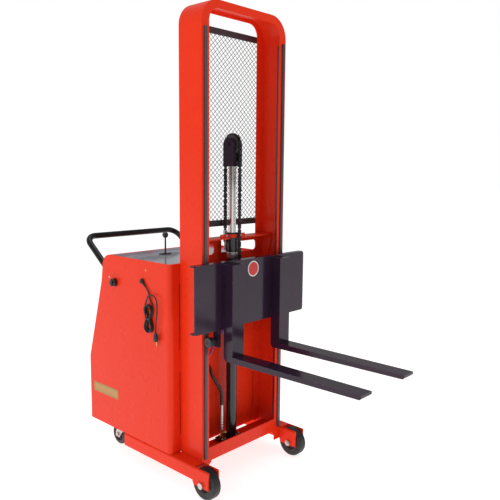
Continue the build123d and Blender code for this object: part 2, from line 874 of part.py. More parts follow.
def body_side_profile():
    """The body's outline seen from the side, added to the sketch that is being drawn."""
    with BuildLine() as profile:
        Polyline(
            (body_front - 1, body_bottom),
            (body_rear, body_bottom),
            (body_rear, body_slope_start),
            (slope_top_y, body_slope_end),
            (lip_top_y, lip_top_z),
            (lip_top_y, body_top),
            (body_front - 1, body_top),
            close=True,
        )
    outline = make_face(profile.edges())
    corner = outline.vertices().sort_by(lambda v: (v.X - lip_top_y) ** 2 + (v.Y - body_top) ** 2)[0]
    fillet(corner, body_top_radius)


with BuildPart() as body_shell:
    with BuildSketch(Plane.XY.offset(body_bottom)):
        with Locations((0, (body_front + body_rear) / 2)):
            plan = Rectangle(chassis_width, body_rear - body_front)
        fillet(plan.vertices().group_by(Axis.Y)[0], body_corner)
    extrude(amount=body_top - body_bottom)
    with BuildSketch(Plane.XY.offset(body_bottom)):
        with Locations((0, (body_front + body_rear) / 2 + body_sheet)):
            room = Rectangle(chassis_width - 2 * body_sheet, body_rear - body_front)
        fillet(room.vertices().group_by(Axis.Y)[0], body_corner - body_sheet)
    extrude(amount=body_top - body_bottom, mode=Mode.SUBTRACT)
    with BuildSketch(Plane.YZ.offset(-half_width - 1)):
        body_side_profile()
    extrude(amount=chassis_width + 2, mode=Mode.INTERSECT)
    slots = (
        (mast_half + slot_width / 2 + 1, 203, 471),
        (mast_half + slot_width / 2 + 1, 564, 840),
        (rear_opening + slot_width / 2 - 8, 197, 368),
    )
    for x, low, high in slots:
        for side, sign in SIDES:
            block(
                (sign * x - slot_width / 2, sign * x + slot_width / 2),
                (body_front, body_front + body_sheet),
                (low, high),
                Mode.SUBTRACT,
            )
    for x, z in ((hose_hole_x, hose_hole_z), (return_hole_x, return_hole_z)):
        with Locations(Location((x, body_front + body_sheet / 2, z), (90, 0, 0))):
            Cylinder(hose_hole / 2, 2 * body_sheet, mode=Mode.SUBTRACT)
    shaft((-half_width, -panel_inner), switch_y, switch_z, switch_stem / 2 + shaft_gap, Mode.SUBTRACT)
    shaft((-half_width, -panel_inner), gland_y, gland_z, 6, Mode.SUBTRACT)

write(body_shell.part, "body_shell")

leg_way = Vector(0, -cos(radians(handle_pitch)), -sin(radians(handle_pitch)))
cover_front = lip_top_y - body_top_radius - 14
with BuildPart() as rear_cover:
    with BuildSketch(Plane.YZ.offset(-panel_inner)):
        body_side_profile()
        offset(amount=-body_sheet, mode=Mode.SUBTRACT)
        with Locations((cover_front - 500, (body_bottom + body_top) / 2)):
            Rectangle(1000, body_top, mode=Mode.SUBTRACT)
        with Locations((cover_front, pan_top - 50)):
            Rectangle(1000, 100, mode=Mode.SUBTRACT)
    extrude(amount=2 * panel_inner)
    for side, sign in SIDES:
        corner = Vector(sign * handle_half_width, handle_y, handle_height)
        with BuildSketch(Plane(origin=corner, x_dir=(1, 0, 0), z_dir=leg_way)):
            Circle(handle_tube / 2 + 0.5)
        extrude(amount=handle_leg, mode=Mode.SUBTRACT)
    for row in range(6):
        block(
            (-150, 150), (body_rear - body_sheet, body_rear), (180 + 30 * row, 188 + 30 * row), Mode.SUBTRACT
        )

write(rear_cover.part, "rear_cover")

lever_y = body_front + lever_setback
lever_pivot_z = top_panel_z - body_sheet - 14
with BuildPart() as top_panel:
    block(
        (-panel_inner, panel_inner),
        (body_front + body_corner, cover_front),
        (top_panel_z - body_sheet, top_panel_z),
    )
    block(
        (-panel_inner + body_corner, panel_inner - body_corner),
        (body_front + body_sheet, body_front + body_corner),
        (top_panel_z - body_sheet, top_panel_z),
    )
    block(
        (-panel_inner, panel_inner),
        (cover_front - body_sheet, cover_front),
        (top_panel_z, body_top),
    )
    block(
        (lever_x - 12, lever_x + 12), (lever_y - 14, lever_y + 14), (top_panel_z - body_sheet, top_panel_z),
        Mode.SUBTRACT,
    )

write(top_panel.part, "top_panel")

with BuildPart() as lever_plate:
    with BuildSketch(Plane.XY.offset(top_panel_z)):
        with Locations((lever_x, lever_y)):
            Ellipse(33, 22)
            Rectangle(lever_rod + 3, 20, mode=Mode.SUBTRACT)
    extrude(amount=4)
    for sign in (-1, 1):
        near = lever_x + sign * 8
        far = lever_x + sign * 11
        block((near, far), (lever_y - 7, lever_y + 7), (lever_pivot_z - 8, top_panel_z))
    shaft((lever_x - 12, lever_x + 12), lever_y, lever_pivot_z, 3)

write(lever_plate.part, "lever_plate")

ball_z = body_top + lever_rise
with BuildPart() as lever:
    shaft((lever_x - 7.5, lever_x + 7.5), lever_y, lever_pivot_z, 7)
    post(lever_x, lever_y, (lever_pivot_z, ball_z), lever_rod / 2)
    with Locations((lever_x, lever_y, ball_z)):
        Sphere(lever_ball / 2)
    shaft((lever_x - 8, lever_x + 8), lever_y, lever_pivot_z, 3 + shaft_gap, Mode.SUBTRACT)

write(lever.part, "lift_lever")

with BuildPart() as knob:
    shaft((-half_width - knob_height, -half_width - running_gap), switch_y, switch_z, knob_diameter / 2)
    chamfer(knob.edges().filter_by(GeomType.CIRCLE).group_by(Axis.X)[0], 2)
    shaft((-half_width - running_gap, -panel_inner + 8), switch_y, switch_z, switch_stem / 2)
    block(
        (-half_width - knob_height - 5, -half_width - knob_height),
        (switch_y - 4, switch_y + 4),
        (switch_z - 15, switch_z + 15),
    )

write(knob.part, "key_switch")

label_y = body_front + label_y_offset
with BuildPart() as label:
    block(
        (-half_width - 0.8, -half_width),
        (label_y - label_length / 2, label_y + label_length / 2),
        (label_z - label_height / 2, label_z + label_height / 2),
    )

write(label.part, "label_plate")

with BuildPart() as screws:
    for side, sign in SIDES:
        for y, z in ((body_front + 152, 887), (body_front + 413, 827)):
            shaft((sign * half_width, sign * (half_width + 3)), y, z, 5.5)

write(screws.part, "cover_screws")

# ==== inside the body ==================================================================================================================

weight_half = panel_inner - 62
weight_top = body_slope_start - 30
with BuildPart() as counterweight:
    block((-weight_half, weight_half), (body_rear - 190, body_rear - 12), (pan_top, weight_top))
    for x in (-120, 120):
        post(x, body_rear - 100, (weight_top, weight_top + 12), 12)

write(counterweight.part, "counterweight")

tank_half = 85
pump_x = panel_inner - 122
pump_y = body_front + 135
battery_right = -panel_inner + 35
battery_left = pump_x - tank_half - 22
lid_lap = 4
with BuildPart() as battery:
    block((battery_right, battery_left), (body_front + 195, body_front + 368), (pan_top, pan_top + 212))
    block(
        (battery_right - lid_lap, battery_left + lid_lap),
        (body_front + 193, body_front + 370),
        (pan_top + 212, pan_top + 226),
    )
    for x in (battery_right + 37, battery_left - 38):
        post(x, body_front + 225, (pan_top + 226, pan_top + 244), 9)

write(battery.part, "battery")

with BuildPart() as power_unit:
    block((pump_x - tank_half, pump_x + tank_half), (pump_y - 65, pump_y + 65), (pan_top, pan_top + 150))
    block((pump_x - 55, pump_x + 55), (pump_y - 45, pump_y + 45), (pan_top + 150, pan_top + 205))
    post(pump_x, pump_y, (pan_top + 205, pan_top + 365), 57)
    post(pump_x, pump_y, (pan_top + 365, pan_top + 377), 48)
    block((pump_x - 24, pump_x + 24), (pump_y - 76, pump_y - 50), (pan_top + 250, pan_top + 330))

write(power_unit.part, "power_unit")

with BuildPart() as charger:
    block((-panel_inner, -panel_inner + 85), (gland_y - 90, gland_y + 110), (gland_z - 95, gland_z + 55))

write(charger.part, "charger")

port_top = (port_x, cylinder_y + 4, hose_top)
manifold = (pump_x - 55, pump_y, pan_top + 178)
tube(
    (
        port_top,
        (port_x, cylinder_y + 4, hose_top + 60),
        (hose_hole_x - 4, body_front - 34, hose_hole_z - 38),
        (hose_hole_x, body_front - 16, hose_hole_z),
        (hose_hole_x, body_front + 26, hose_hole_z),
        (hose_hole_x + 66, body_front + 64, hose_hole_z - 12),
        (hose_hole_x + 130, pump_y - 14, manifold[2] + 60),
        (manifold[0] - 44, pump_y, manifold[2]),
        manifold,
    ),
    hose_diameter,
    "lift_hose",
)

tank = (pump_x - tank_half, pump_y - 20, pan_top + 110)
tube(
    (
        (-barrel_diameter / 2, cylinder_y, 628),
        (-barrel_diameter / 2 - 24, cylinder_y, 628),
        (-barrel_diameter / 2 - 60, cylinder_y + 18, 572),
        (return_hole_x + 14, body_front - 30, return_hole_z + 30),
        (return_hole_x, body_front - 16, return_hole_z),
        (return_hole_x, body_front + 22, return_hole_z),
        (return_hole_x + 40, body_front + 56, return_hole_z - 50),
        (-30, body_front + 90, 335),
        (tank[0] - 40, tank[1], tank[2]),
        tank,
    ),
    return_diameter,
    "return_tube",
)

# ==== push handle =============================================================================================================================

corner_right = Vector(-handle_half_width, handle_y, handle_height)
corner_left = Vector(handle_half_width, handle_y, handle_height)
with BuildPart() as push_handle:
    with BuildLine() as handle_path:
        FilletPolyline(
            corner_right + leg_way * handle_leg,
            corner_right,
            corner_left,
            corner_left + leg_way * handle_leg,
            radius=handle_bend,
        )
    handle_wire = handle_path.wire()
    with BuildSketch(Plane(origin=handle_wire @ 0, z_dir=handle_wire % 0)):
        Circle(handle_tube / 2)
    sweep()

write(push_handle.part, "push_handle")

with BuildPart() as handle_sockets:
    for side, sign in SIDES:
        end = Vector(sign * handle_half_width, handle_y, handle_height) + leg_way * handle_leg
        with BuildSketch(Plane(origin=end, x_dir=(1, 0, 0), z_dir=-leg_way)):
            with Locations((sign * (panel_inner - handle_half_width - socket_size / 2) / 2, 0)):
                Rectangle(panel_inner - handle_half_width + socket_size / 2, socket_size)
        extrude(amount=socket_length)
        with BuildSketch(Plane(origin=end, x_dir=(1, 0, 0), z_dir=-leg_way)):
            Circle(handle_tube / 2)
        extrude(amount=socket_length, mode=Mode.SUBTRACT)

write(handle_sockets.part, "handle_sockets")

# ==== charger lead ==============================================================================================================================

lead_x = -half_width - 5.5
tail_x = -half_width - 14.5
hank_y = front_y + 349
hank_top = 748
plug_top = 640.5
relief_way = Vector(0, -0.78, -0.6258)
with BuildPart() as gland:
    shaft((-half_width - 13, -half_width), gland_y, gland_z, 12)
    shaft((-half_width, -panel_inner), gland_y, gland_z, 6)
    with BuildSketch(Plane(origin=(lead_x, gland_y, gland_z), z_dir=relief_way)):
        Circle(5.2)
    with BuildSketch(
        Plane(origin=Vector(lead_x, gland_y, gland_z) + relief_way * relief_length, z_dir=relief_way)
    ):
        Circle(cord_diameter / 2 + 0.6)
    loft()

write(gland.part, "cord_gland")

relief_tip = Vector(lead_x, gland_y, gland_z) + relief_way * relief_length
tube(
    (
        tuple(relief_tip),
        tuple(relief_tip + relief_way * 19),
        (lead_x, front_y + 350, 788),
        (lead_x, front_y + 349, 767),
        (lead_x, front_y + 349, hank_top),
    ),
    cord_diameter,
    "cord_lead",
)

with BuildPart() as hank:
    with BuildSketch(Plane.YZ.offset(-half_width - running_gap - hank_thickness)):
        with Locations((hank_y, hank_top - hank_height / 2)):
            RectangleRounded(hank_width, hank_height, 14)
    extrude(amount=hank_thickness)

write(hank.part, "cord_hank")

tube(
    (
        (tail_x, front_y + 354, hank_top),
        (tail_x, front_y + 354, 768),
        (tail_x, front_y + 341.5, 785.6),
        (tail_x, front_y + 321, 792.2),
        (tail_x, front_y + 300.5, 785.6),
        (tail_x, front_y + 288, 768),
        (tail_x, front_y + 287, 748),
        (tail_x, front_y + 287.5, 727),
        (tail_x, front_y + 290, 704),
        (tail_x, front_y + 294.5, 682),
        (tail_x, front_y + 298, 661),
        (tail_x, front_y + 298, plug_top),
    ),
    cord_diameter,
    "cord_tail",
)

plug_y = front_y + 298
with BuildPart() as plug:
    block((tail_x - 9, tail_x + 9), (plug_y - 12, plug_y + 12), (plug_top - 40, plug_top - 10))
    fillet(plug.edges().filter_by(Axis.Z), 5)
    with BuildSketch(Plane.XY.offset(plug_top - 10)):
        with Locations((tail_x, plug_y)):
            Circle(7)
    with BuildSketch(Plane.XY.offset(plug_top)):
        with Locations((tail_x, plug_y)):
            Circle(4.2)
    loft()
    for dy in (-6, 6):
        block(
            (tail_x - 3, tail_x + 3),
            (plug_y + dy - 0.8, plug_y + dy + 0.8),
            (plug_top - 60, plug_top - 40),
        )
    post(tail_x + 5, plug_y, (plug_top - 62, plug_top - 40), 2.4)

write(plug.part, "mains_plug")
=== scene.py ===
"""Looks of a counterbalanced walkie stacker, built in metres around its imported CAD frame.

+Z is up, the forks point along -Y, the push handle is at +Y and the charger lead hangs on the -X side.
"""
from math import cos, pi, radians, sin, sqrt

import bmesh
import bpy
from mathutils import Matrix, Vector


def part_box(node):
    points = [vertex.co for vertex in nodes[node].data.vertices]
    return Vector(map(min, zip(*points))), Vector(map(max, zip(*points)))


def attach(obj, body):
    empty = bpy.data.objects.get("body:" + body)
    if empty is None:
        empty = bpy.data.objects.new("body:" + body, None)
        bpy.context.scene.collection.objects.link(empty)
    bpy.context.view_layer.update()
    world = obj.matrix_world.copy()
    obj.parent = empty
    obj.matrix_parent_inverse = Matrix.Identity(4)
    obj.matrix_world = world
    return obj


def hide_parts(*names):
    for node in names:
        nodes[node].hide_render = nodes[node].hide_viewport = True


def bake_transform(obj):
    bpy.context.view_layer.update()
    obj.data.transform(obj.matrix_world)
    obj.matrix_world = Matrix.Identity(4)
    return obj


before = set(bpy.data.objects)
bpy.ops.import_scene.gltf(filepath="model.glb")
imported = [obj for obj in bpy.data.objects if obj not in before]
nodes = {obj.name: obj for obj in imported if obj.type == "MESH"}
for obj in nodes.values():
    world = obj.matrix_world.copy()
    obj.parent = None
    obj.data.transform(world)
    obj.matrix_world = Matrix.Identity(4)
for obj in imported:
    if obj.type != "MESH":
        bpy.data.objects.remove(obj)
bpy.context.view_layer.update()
SIDES = (("right", -1), ("left", 1))

# ---- camera, lights and floor ----------------------------

CAMERA_PLACE = Vector((-1.858, -1.7934, 1.3015))
CAMERA_YAW = radians(47.2)
CAMERA_PITCH = radians(-7.4)
CAMERA_ROLL = radians(0.5)
CAMERA_LENS = 44.43
SENSOR_WIDTH = 36
ROOM_LIGHT = 0.36               # what surfaces get from the white room; the camera sees it as pure white
FLOOR_GLOW = 0.76               # keeps the floor's far end as pale as the backdrop
FLOOR_REACH = 40
SOFTBOXES = (                   # name, place, target, size, power
    ("key", (-4.4, 0.4, 2.6), (0, 0.1, 0.9), 2.6, 50),
    ("front", (1.6, -5.0, 2.0), (0, 0, 0.8), 1.6, 20),
    ("top", (0.2, 0.6, 4.8), (0, 0.1, 1), 2.6, 50),
)


def make_camera():
    """The camera stands left of the forks, a little above the forks' carriage."""
    data = bpy.data.cameras.new("camera")
    data.lens = CAMERA_LENS
    data.sensor_width = SENSOR_WIDTH
    camera = bpy.data.objects.new("camera", data)
    bpy.context.scene.collection.objects.link(camera)
    forward = Vector((
        sin(CAMERA_YAW) * cos(CAMERA_PITCH),
        cos(CAMERA_YAW) * cos(CAMERA_PITCH),
        sin(CAMERA_PITCH),
    ))
    right = Vector((cos(CAMERA_YAW), -sin(CAMERA_YAW), 0))
    up = right.cross(forward)
    rolled_right = cos(CAMERA_ROLL) * right + sin(CAMERA_ROLL) * up
    rolled_up = -sin(CAMERA_ROLL) * right + cos(CAMERA_ROLL) * up
    turn = Matrix((rolled_right, rolled_up, -forward)).transposed()
    camera.matrix_world = Matrix.Translation(CAMERA_PLACE) @ turn.to_4x4()
    bpy.context.scene.camera = camera


def area_light(name, place, target, size, power):
    """A square softbox that looks at a point."""
    data = bpy.data.lights.new(name, "AREA")
    data.size = size
    data.energy = power
    light = bpy.data.objects.new(name, data)
    bpy.context.scene.collection.objects.link(light)
    light.location = place
    light.rotation_mode = "QUATERNION"
    light.rotation_quaternion = (Vector(target) - Vector(place)).to_track_quat("-Z", "Y")


def make_studio():
    """A pale floor, a white surround and three softboxes."""
    scene = bpy.context.scene
    scene.view_settings.view_transform = "Standard"
    world = bpy.data.worlds.new("studio")
    scene.world = world
    world.use_nodes = True
    tree = world.node_tree
    seen = tree.nodes["Background"]
    seen.inputs["Color"].default_value = (1, 1, 1, 1)
    seen.inputs["Strength"].default_value = 1.0
    room = tree.nodes.new("ShaderNodeBackground")
    room.inputs["Color"].default_value = (1, 1, 1, 1)
    room.inputs["Strength"].default_value = ROOM_LIGHT
    paths = tree.nodes.new("ShaderNodeLightPath")
    choice = tree.nodes.new("ShaderNodeMixShader")
    tree.links.new(paths.outputs["Is Camera Ray"], choice.inputs["Fac"])
    tree.links.new(room.outputs["Background"], choice.inputs[1])
    tree.links.new(seen.outputs["Background"], choice.inputs[2])
    tree.links.new(choice.outputs["Shader"], tree.nodes["World Output"].inputs["Surface"])
    for softbox in SOFTBOXES:
        area_light(*softbox)
    mesh = bpy.data.meshes.new("floor")
    corners = [(x * FLOOR_REACH, y * FLOOR_REACH, 0) for x, y in ((-1, -1), (1, -1), (1, 1), (-1, 1))]
    mesh.from_pydata(corners, [], [(0, 1, 2, 3)])
    floor = bpy.data.objects.new("floor", mesh)
    scene.collection.objects.link(floor)
    paint = bpy.data.materials.new("floor")
    paint.use_nodes = True
    shader = paint.node_tree.nodes["Principled BSDF"]
    shader.inputs["Base Color"].default_value = (0.80, 0.80, 0.80, 1)
    shader.inputs["Roughness"].default_value = 0.9
    shader.inputs["Specular IOR Level"].default_value = 0.1
    shader.inputs["Emission Color"].default_value = (1, 1, 1, 1)
    shader.inputs["Emission Strength"].default_value = FLOOR_GLOW
    mesh.materials.append(paint)


make_camera()
make_studio()

# ---- materials -------------------------------------------


def surface(
    name, colour, rough, metal=0.0, coat=0.0, tint=0.06, tint_scale=5.0, rough_spread=0.06, rough_scale=18.0,
    bump=0.02, bump_scale=420.0, stretch=(1, 1, 1), wear=None, wear_amount=0.5, dust=0.0, specular=0.5,
):
    """A procedural finish: mottled colour, uneven gloss, a fine grain, and bare or dusty edges."""
    paint = bpy.data.materials.new(name)
    paint.use_nodes = True
    tree = paint.node_tree
    shader = tree.nodes["Principled BSDF"]
    shader.inputs["Metallic"].default_value = metal
    shader.inputs["Coat Weight"].default_value = coat
    shader.inputs["Coat Roughness"].default_value = 0.08
    shader.inputs["Specular IOR Level"].default_value = specular
    place = tree.nodes.new("ShaderNodeTexCoord")
    mapping = tree.nodes.new("ShaderNodeMapping")
    mapping.inputs["Scale"].default_value = stretch
    tree.links.new(place.outputs["Object"], mapping.inputs["Vector"])

    def noise(scale, detail=4.0):
        node = tree.nodes.new("ShaderNodeTexNoise")
        node.inputs["Scale"].default_value = scale
        node.inputs["Detail"].default_value = detail
        tree.links.new(mapping.outputs["Vector"], node.inputs["Vector"])
        return node.outputs["Fac"]

    def spread(source, low, high, from_low=0.3, from_high=0.7):
        node = tree.nodes.new("ShaderNodeMapRange")
        node.inputs["From Min"].default_value = from_low
        node.inputs["From Max"].default_value = from_high
        node.inputs["To Min"].default_value = low
        node.inputs["To Max"].default_value = high
        tree.links.new(source, node.inputs["Value"])
        return node.outputs["Result"]

    def mixed(factor, first, second):
        node = tree.nodes.new("ShaderNodeMix")
        node.data_type = "RGBA"
        tree.links.new(factor, node.inputs["Factor"])
        for socket, value in ((node.inputs["A"], first), (node.inputs["B"], second)):
            if isinstance(value, bpy.types.NodeSocket):
                tree.links.new(value, socket)
            else:
                socket.default_value = (*value, 1)
        return node.outputs["Result"]

    darker = [c * (1 - tint) for c in colour]
    lighter = [min(1, c * (1 + tint)) for c in colour]
    shade = mixed(spread(noise(tint_scale), 0, 1), darker, lighter)
    if dust:
        grey = [0.45 * c + 0.55 * 0.42 for c in colour]
        shade = mixed(spread(noise(tint_scale * 2.4, 8), 0, dust, 0.45, 0.8), shade, grey)
    if wear:
        geometry = tree.nodes.new("ShaderNodeNewGeometry")
        rounded = tree.nodes.new("ShaderNodeBevel")
        rounded.inputs["Radius"].default_value = 0.0016
        likeness = tree.nodes.new("ShaderNodeVectorMath")
        likeness.operation = "DOT_PRODUCT"
        tree.links.new(rounded.outputs["Normal"], likeness.inputs[0])
        tree.links.new(geometry.outputs["Normal"], likeness.inputs[1])
        edge = spread(likeness.outputs["Value"], 1, 0, 0.86, 0.985)
        patch = spread(noise(55, 6), 0, wear_amount, 0.5, 0.66)
        both = tree.nodes.new("ShaderNodeMath")
        both.operation = "MULTIPLY"
        tree.links.new(edge, both.inputs[0])
        tree.links.new(patch, both.inputs[1])
        shade = mixed(both.outputs["Value"], shade, wear)
    tree.links.new(shade, shader.inputs["Base Color"])
    tree.links.new(
        spread(noise(rough_scale, 6), max(0.03, rough - rough_spread), min(1, rough + rough_spread)),
        shader.inputs["Roughness"],
    )
    grain = tree.nodes.new("ShaderNodeBump")
    grain.inputs["Strength"].default_value = bump
    grain.inputs["Distance"].default_value = 0.001
    tree.links.new(noise(bump_scale, 3), grain.inputs["Height"])
    tree.links.new(grain.outputs["Normal"], shader.inputs["Normal"])
    return paint


BARE_STEEL = (0.32, 0.31, 0.30)
FINISH = {
    "red": surface(
        "red_gloss_paint", (0.87, 0.036, 0.008), 0.30, coat=0.02, tint=0.03, tint_scale=2.2, bump=0.04,
        bump_scale=260, specular=0.18, wear=(0.42, 0.05, 0.03), wear_amount=0.45,
    ),
    "black": surface(
        "black_gloss_paint", (0.028, 0.012, 0.029), 0.17, coat=0.05, tint=0.2, rough_spread=0.05, bump=0.04,
        bump_scale=300, specular=0.30, wear=BARE_STEEL, wear_amount=0.45,
    ),
    "handle": surface("black_tube_paint", (0.006, 0.006, 0.007), 0.30, tint=0.2, bump=0.05, specular=0.25),
    "steel": surface(
        "rolled_steel", (0.085, 0.082, 0.095), 0.42, metal=0.55, tint=0.2, tint_scale=14, rough_spread=0.1,
        bump=0.12, bump_scale=160, stretch=(1, 1, 0.12), wear=(0.4, 0.4, 0.42),
    ),
    "screen": surface(
        "screen_paint", (0.030, 0.028, 0.034), 0.45, tint=0.2, bump=0.15, bump_scale=500, wear=BARE_STEEL,
        wear_amount=0.3,
    ),
    "chrome": surface(
        "hard_chrome", (0.62, 0.60, 0.61), 0.09, metal=1.0, tint=0.03, rough_spread=0.03, bump=0.03,
        bump_scale=90, stretch=(1, 1, 0.05),
    ),
    "barrel": surface(
        "barrel_paint", (0.012, 0.010, 0.014), 0.22, coat=0.3, tint=0.15, bump=0.05, bump_scale=200,
    ),
    "chain": surface(
        "oiled_chain", (0.035, 0.028, 0.032), 0.38, metal=0.5, tint=0.35, tint_scale=60, rough_spread=0.12,
        bump=0.1, wear=(0.25, 0.22, 0.2),
    ),
    "iron": surface(
        "machined_iron", (0.10, 0.095, 0.10), 0.45, metal=0.7, tint=0.2, tint_scale=30, bump=0.2, dust=0.2,
    ),
    "zinc": surface(
        "zinc_plate", (0.56, 0.56, 0.54), 0.32, metal=0.9, tint=0.10, tint_scale=26, rough_spread=0.1,
        bump=0.08, bump_scale=220,
    ),
    "brass": surface(
        "turned_brass", (0.62, 0.40, 0.13), 0.28, metal=1.0, tint=0.12, tint_scale=40, bump=0.06,
    ),
    "rubber": surface(
        "tyre_rubber", (0.008, 0.009, 0.010), 0.42, tint=0.25, tint_scale=24, rough_spread=0.12, bump=0.25,
        bump_scale=330, dust=0.10,
    ),
    "hub": surface(
        "hub_paint", (0.016, 0.016, 0.018), 0.35, coat=0.1, tint=0.25, bump=0.1, dust=0.08, wear=BARE_STEEL,
        wear_amount=0.4,
    ),
    "tread": surface("caster_tread", (0.018, 0.018, 0.020), 0.48, tint=0.25, bump=0.15, dust=0.12),
    "hose": surface(
        "hose_rubber", (0.012, 0.012, 0.013), 0.46, tint=0.2, bump=0.3, bump_scale=700, stretch=(1, 1, 0.5),
    ),
    "blue": surface("return_tube", (0.030, 0.060, 0.36), 0.22, tint=0.12, bump=0.02, specular=0.6),
    "ball": surface("knob_resin", (0.008, 0.008, 0.009), 0.13, coat=0.4, tint=0.1, bump=0.01),
    # the top panel's own glossy grey, with a painted blue-grey reflection tint mixed into its base colour
    "panel": surface(
        "panel_gloss", (0.58, 0.61, 0.70), 0.12, metal=0.35, coat=0.5, tint=0.08, tint_scale=4,
        rough_spread=0.05, bump=0.03, bump_scale=60,
    ),
    "yellow": surface("label_film", (0.52, 0.29, 0.075), 0.42, tint=0.06, tint_scale=30, bump=0.04),
    "label_line": surface("label_line", (0.02, 0.018, 0.016), 0.45, tint=0.2, bump=0.04),
    "red_film": surface("disc_film", (0.62, 0.012, 0.016), 0.30, tint=0.06, tint_scale=40, bump=0.04),
    "white_film": surface("disc_rim", (0.82, 0.80, 0.79), 0.35, tint=0.04, tint_scale=40, bump=0.04),
    "cast": surface(
        "rough_cast", (0.05, 0.05, 0.052), 0.7, metal=0.2, tint=0.3, tint_scale=20, bump=0.7, bump_scale=120,
    ),
    "battery": surface("battery_case", (0.018, 0.018, 0.022), 0.5, tint=0.15, bump=0.2, dust=0.25),
    "alloy": surface("cast_alloy", (0.42, 0.43, 0.44), 0.5, metal=0.8, tint=0.12, bump=0.35, bump_scale=200),
    "case": surface("charger_case", (0.09, 0.09, 0.10), 0.4, tint=0.12, bump=0.1, bump_scale=350),
    "cord": surface("cord_jacket", (0.010, 0.010, 0.011), 0.42, tint=0.2, tint_scale=60, bump=0.08),
    "plug": surface("plug_moulding", (0.013, 0.013, 0.014), 0.38, tint=0.2, tint_scale=60, bump=0.12),
}

# ---- mesh helpers ----------------------------------------


def place_piece(name, mesh, body, finish, sharp=35, bevel=0.0):
    """Turns a mesh into a piece with its finishes, that rides on a body when one is given."""
    for paint in finish if isinstance(finish, (list, tuple)) else (finish,):
        mesh.materials.append(FINISH[paint])
    mesh.shade_smooth()
    mesh.set_sharp_from_angle(angle=radians(sharp))
    piece = bpy.data.objects.new(name, mesh)
    bpy.context.scene.collection.objects.link(piece)
    if bevel:
        soften(piece, bevel)
    if body:
        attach(piece, body)
    return piece


def soften(piece, width, segments=2):
    """Rounds the sharp edges of a piece by a bevel of that width."""
    edge = piece.modifiers.new("edges", "BEVEL")
    edge.width = width
    edge.segments = segments
    edge.limit_method = "ANGLE"
    edge.angle_limit = radians(40)
    edge.harden_normals = False


def mesh_from(name, build):
    """A mesh made by a function that fills a bmesh."""
    mesh = bpy.data.meshes.new(name)
    bm = bmesh.new()
    build(bm)
    bmesh.ops.recalc_face_normals(bm, faces=bm.faces)
    bm.to_mesh(mesh)
    bm.free()
    return mesh


def add_prism(bm, outline, to_space, start, end, material=0):
    """Adds a closed outline of (u, v) points, extruded between two depths; to_space maps (u, v, depth)."""
    near = [bm.verts.new(to_space(u, v, start)) for u, v in outline]
    far = [bm.verts.new(to_space(u, v, end)) for u, v in outline]
    count = len(outline)
    faces = [bm.faces.new(near), bm.faces.new(far[::-1])]
    for i in range(count):
        j = (i + 1) % count
        faces.append(bm.faces.new((near[i], far[i], far[j], near[j])))
    for face in faces:
        face.material_index = material


def add_lathe(bm, profile, centre, axis, segments=64, material=0):
    """Adds a closed profile of (distance along the axis, radius) points, turned about the axis."""
    axis = Vector(axis).normalized()
    side = axis.orthogonal().normalized()
    other = axis.cross(side)
    rings = []
    for k in range(segments):
        turn = 2 * pi * k / segments
        out = side * cos(turn) + other * sin(turn)
        rings.append([
            bm.verts.new(Vector(centre) + axis * along + out * radius) for along, radius in profile
        ])
    for k in range(segments):
        here, there = rings[k], rings[(k + 1) % segments]
        for i in range(len(profile)):
            j = (i + 1) % len(profile)
            bm.faces.new((here[i], here[j], there[j], there[i])).material_index = material


def add_hexagon(bm, centre, axis, across, height, material=0):
    """Adds a hexagonal nut or bolt head that stands on a point, along an axis."""
    axis = Vector(axis).normalized()
    side = axis.orthogonal().normalized()
    other = axis.cross(side)
    radius = across / sqrt(3)
    corners = [(radius * cos(pi * k / 3), radius * sin(pi * k / 3)) for k in range(6)]
    add_prism(
        bm, corners, lambda u, v, d: Vector(centre) + side * u + other * v + axis * d, 0, height, material
    )


def on_yz(u, v, depth):
    """Outline (y, z), extruded along X."""
    return Vector((depth, u, v))


def on_xz(u, v, depth):
    """Outline (x, z), extruded along Y."""
    return Vector((u, depth, v))


def rounded_outline(width, height, radius, centre=(0, 0), steps=5):
    """A rectangle with round corners, as (u, v) points."""
    points = []
    for k, (su, sv) in enumerate(((1, 1), (-1, 1), (-1, -1), (1, -1))):
        for i in range(steps + 1):
            turn = pi / 2 * (k + i / steps)
            points.append((
                centre[0] + su * (width / 2 - radius) + radius * cos(turn),
                centre[1] + sv * (height / 2 - radius) + radius * sin(turn),
            ))
    return points


# ---- charger lead ----------------------------------------

CORD = 0.006
BODY_SIDE = -0.300              # the body's -X face
LEAD_X = -0.3055
TAIL_X = -0.3145
CORD_FRONT = -0.1395            # the front ends of the rails, which the route is measured from
HANK_LOW, HANK_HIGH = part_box("cord_hank")
HANK_Y = (HANK_LOW.y + HANK_HIGH.y) / 2
HANK_RADIUS = (HANK_HIGH.y - HANK_LOW.y) / 2 - CORD / 2
HANK_LEG = (HANK_HIGH.z - HANK_LOW.z) - (HANK_HIGH.y - HANK_LOW.y)
HANK_MIDDLE = (HANK_HIGH.z + HANK_LOW.z) / 2
HANK_PINCH = 0.0108             # how far the tie draws each leg in
LAYERS = [HANK_HIGH.x - CORD / 2 - k * CORD for k in range(3)]
RELIEF_WAY = Vector((0, -0.78, -0.6258))
GLAND_PLACE = Vector((LEAD_X, 0.2575, 0.837))
RELIEF_LENGTH = 0.031


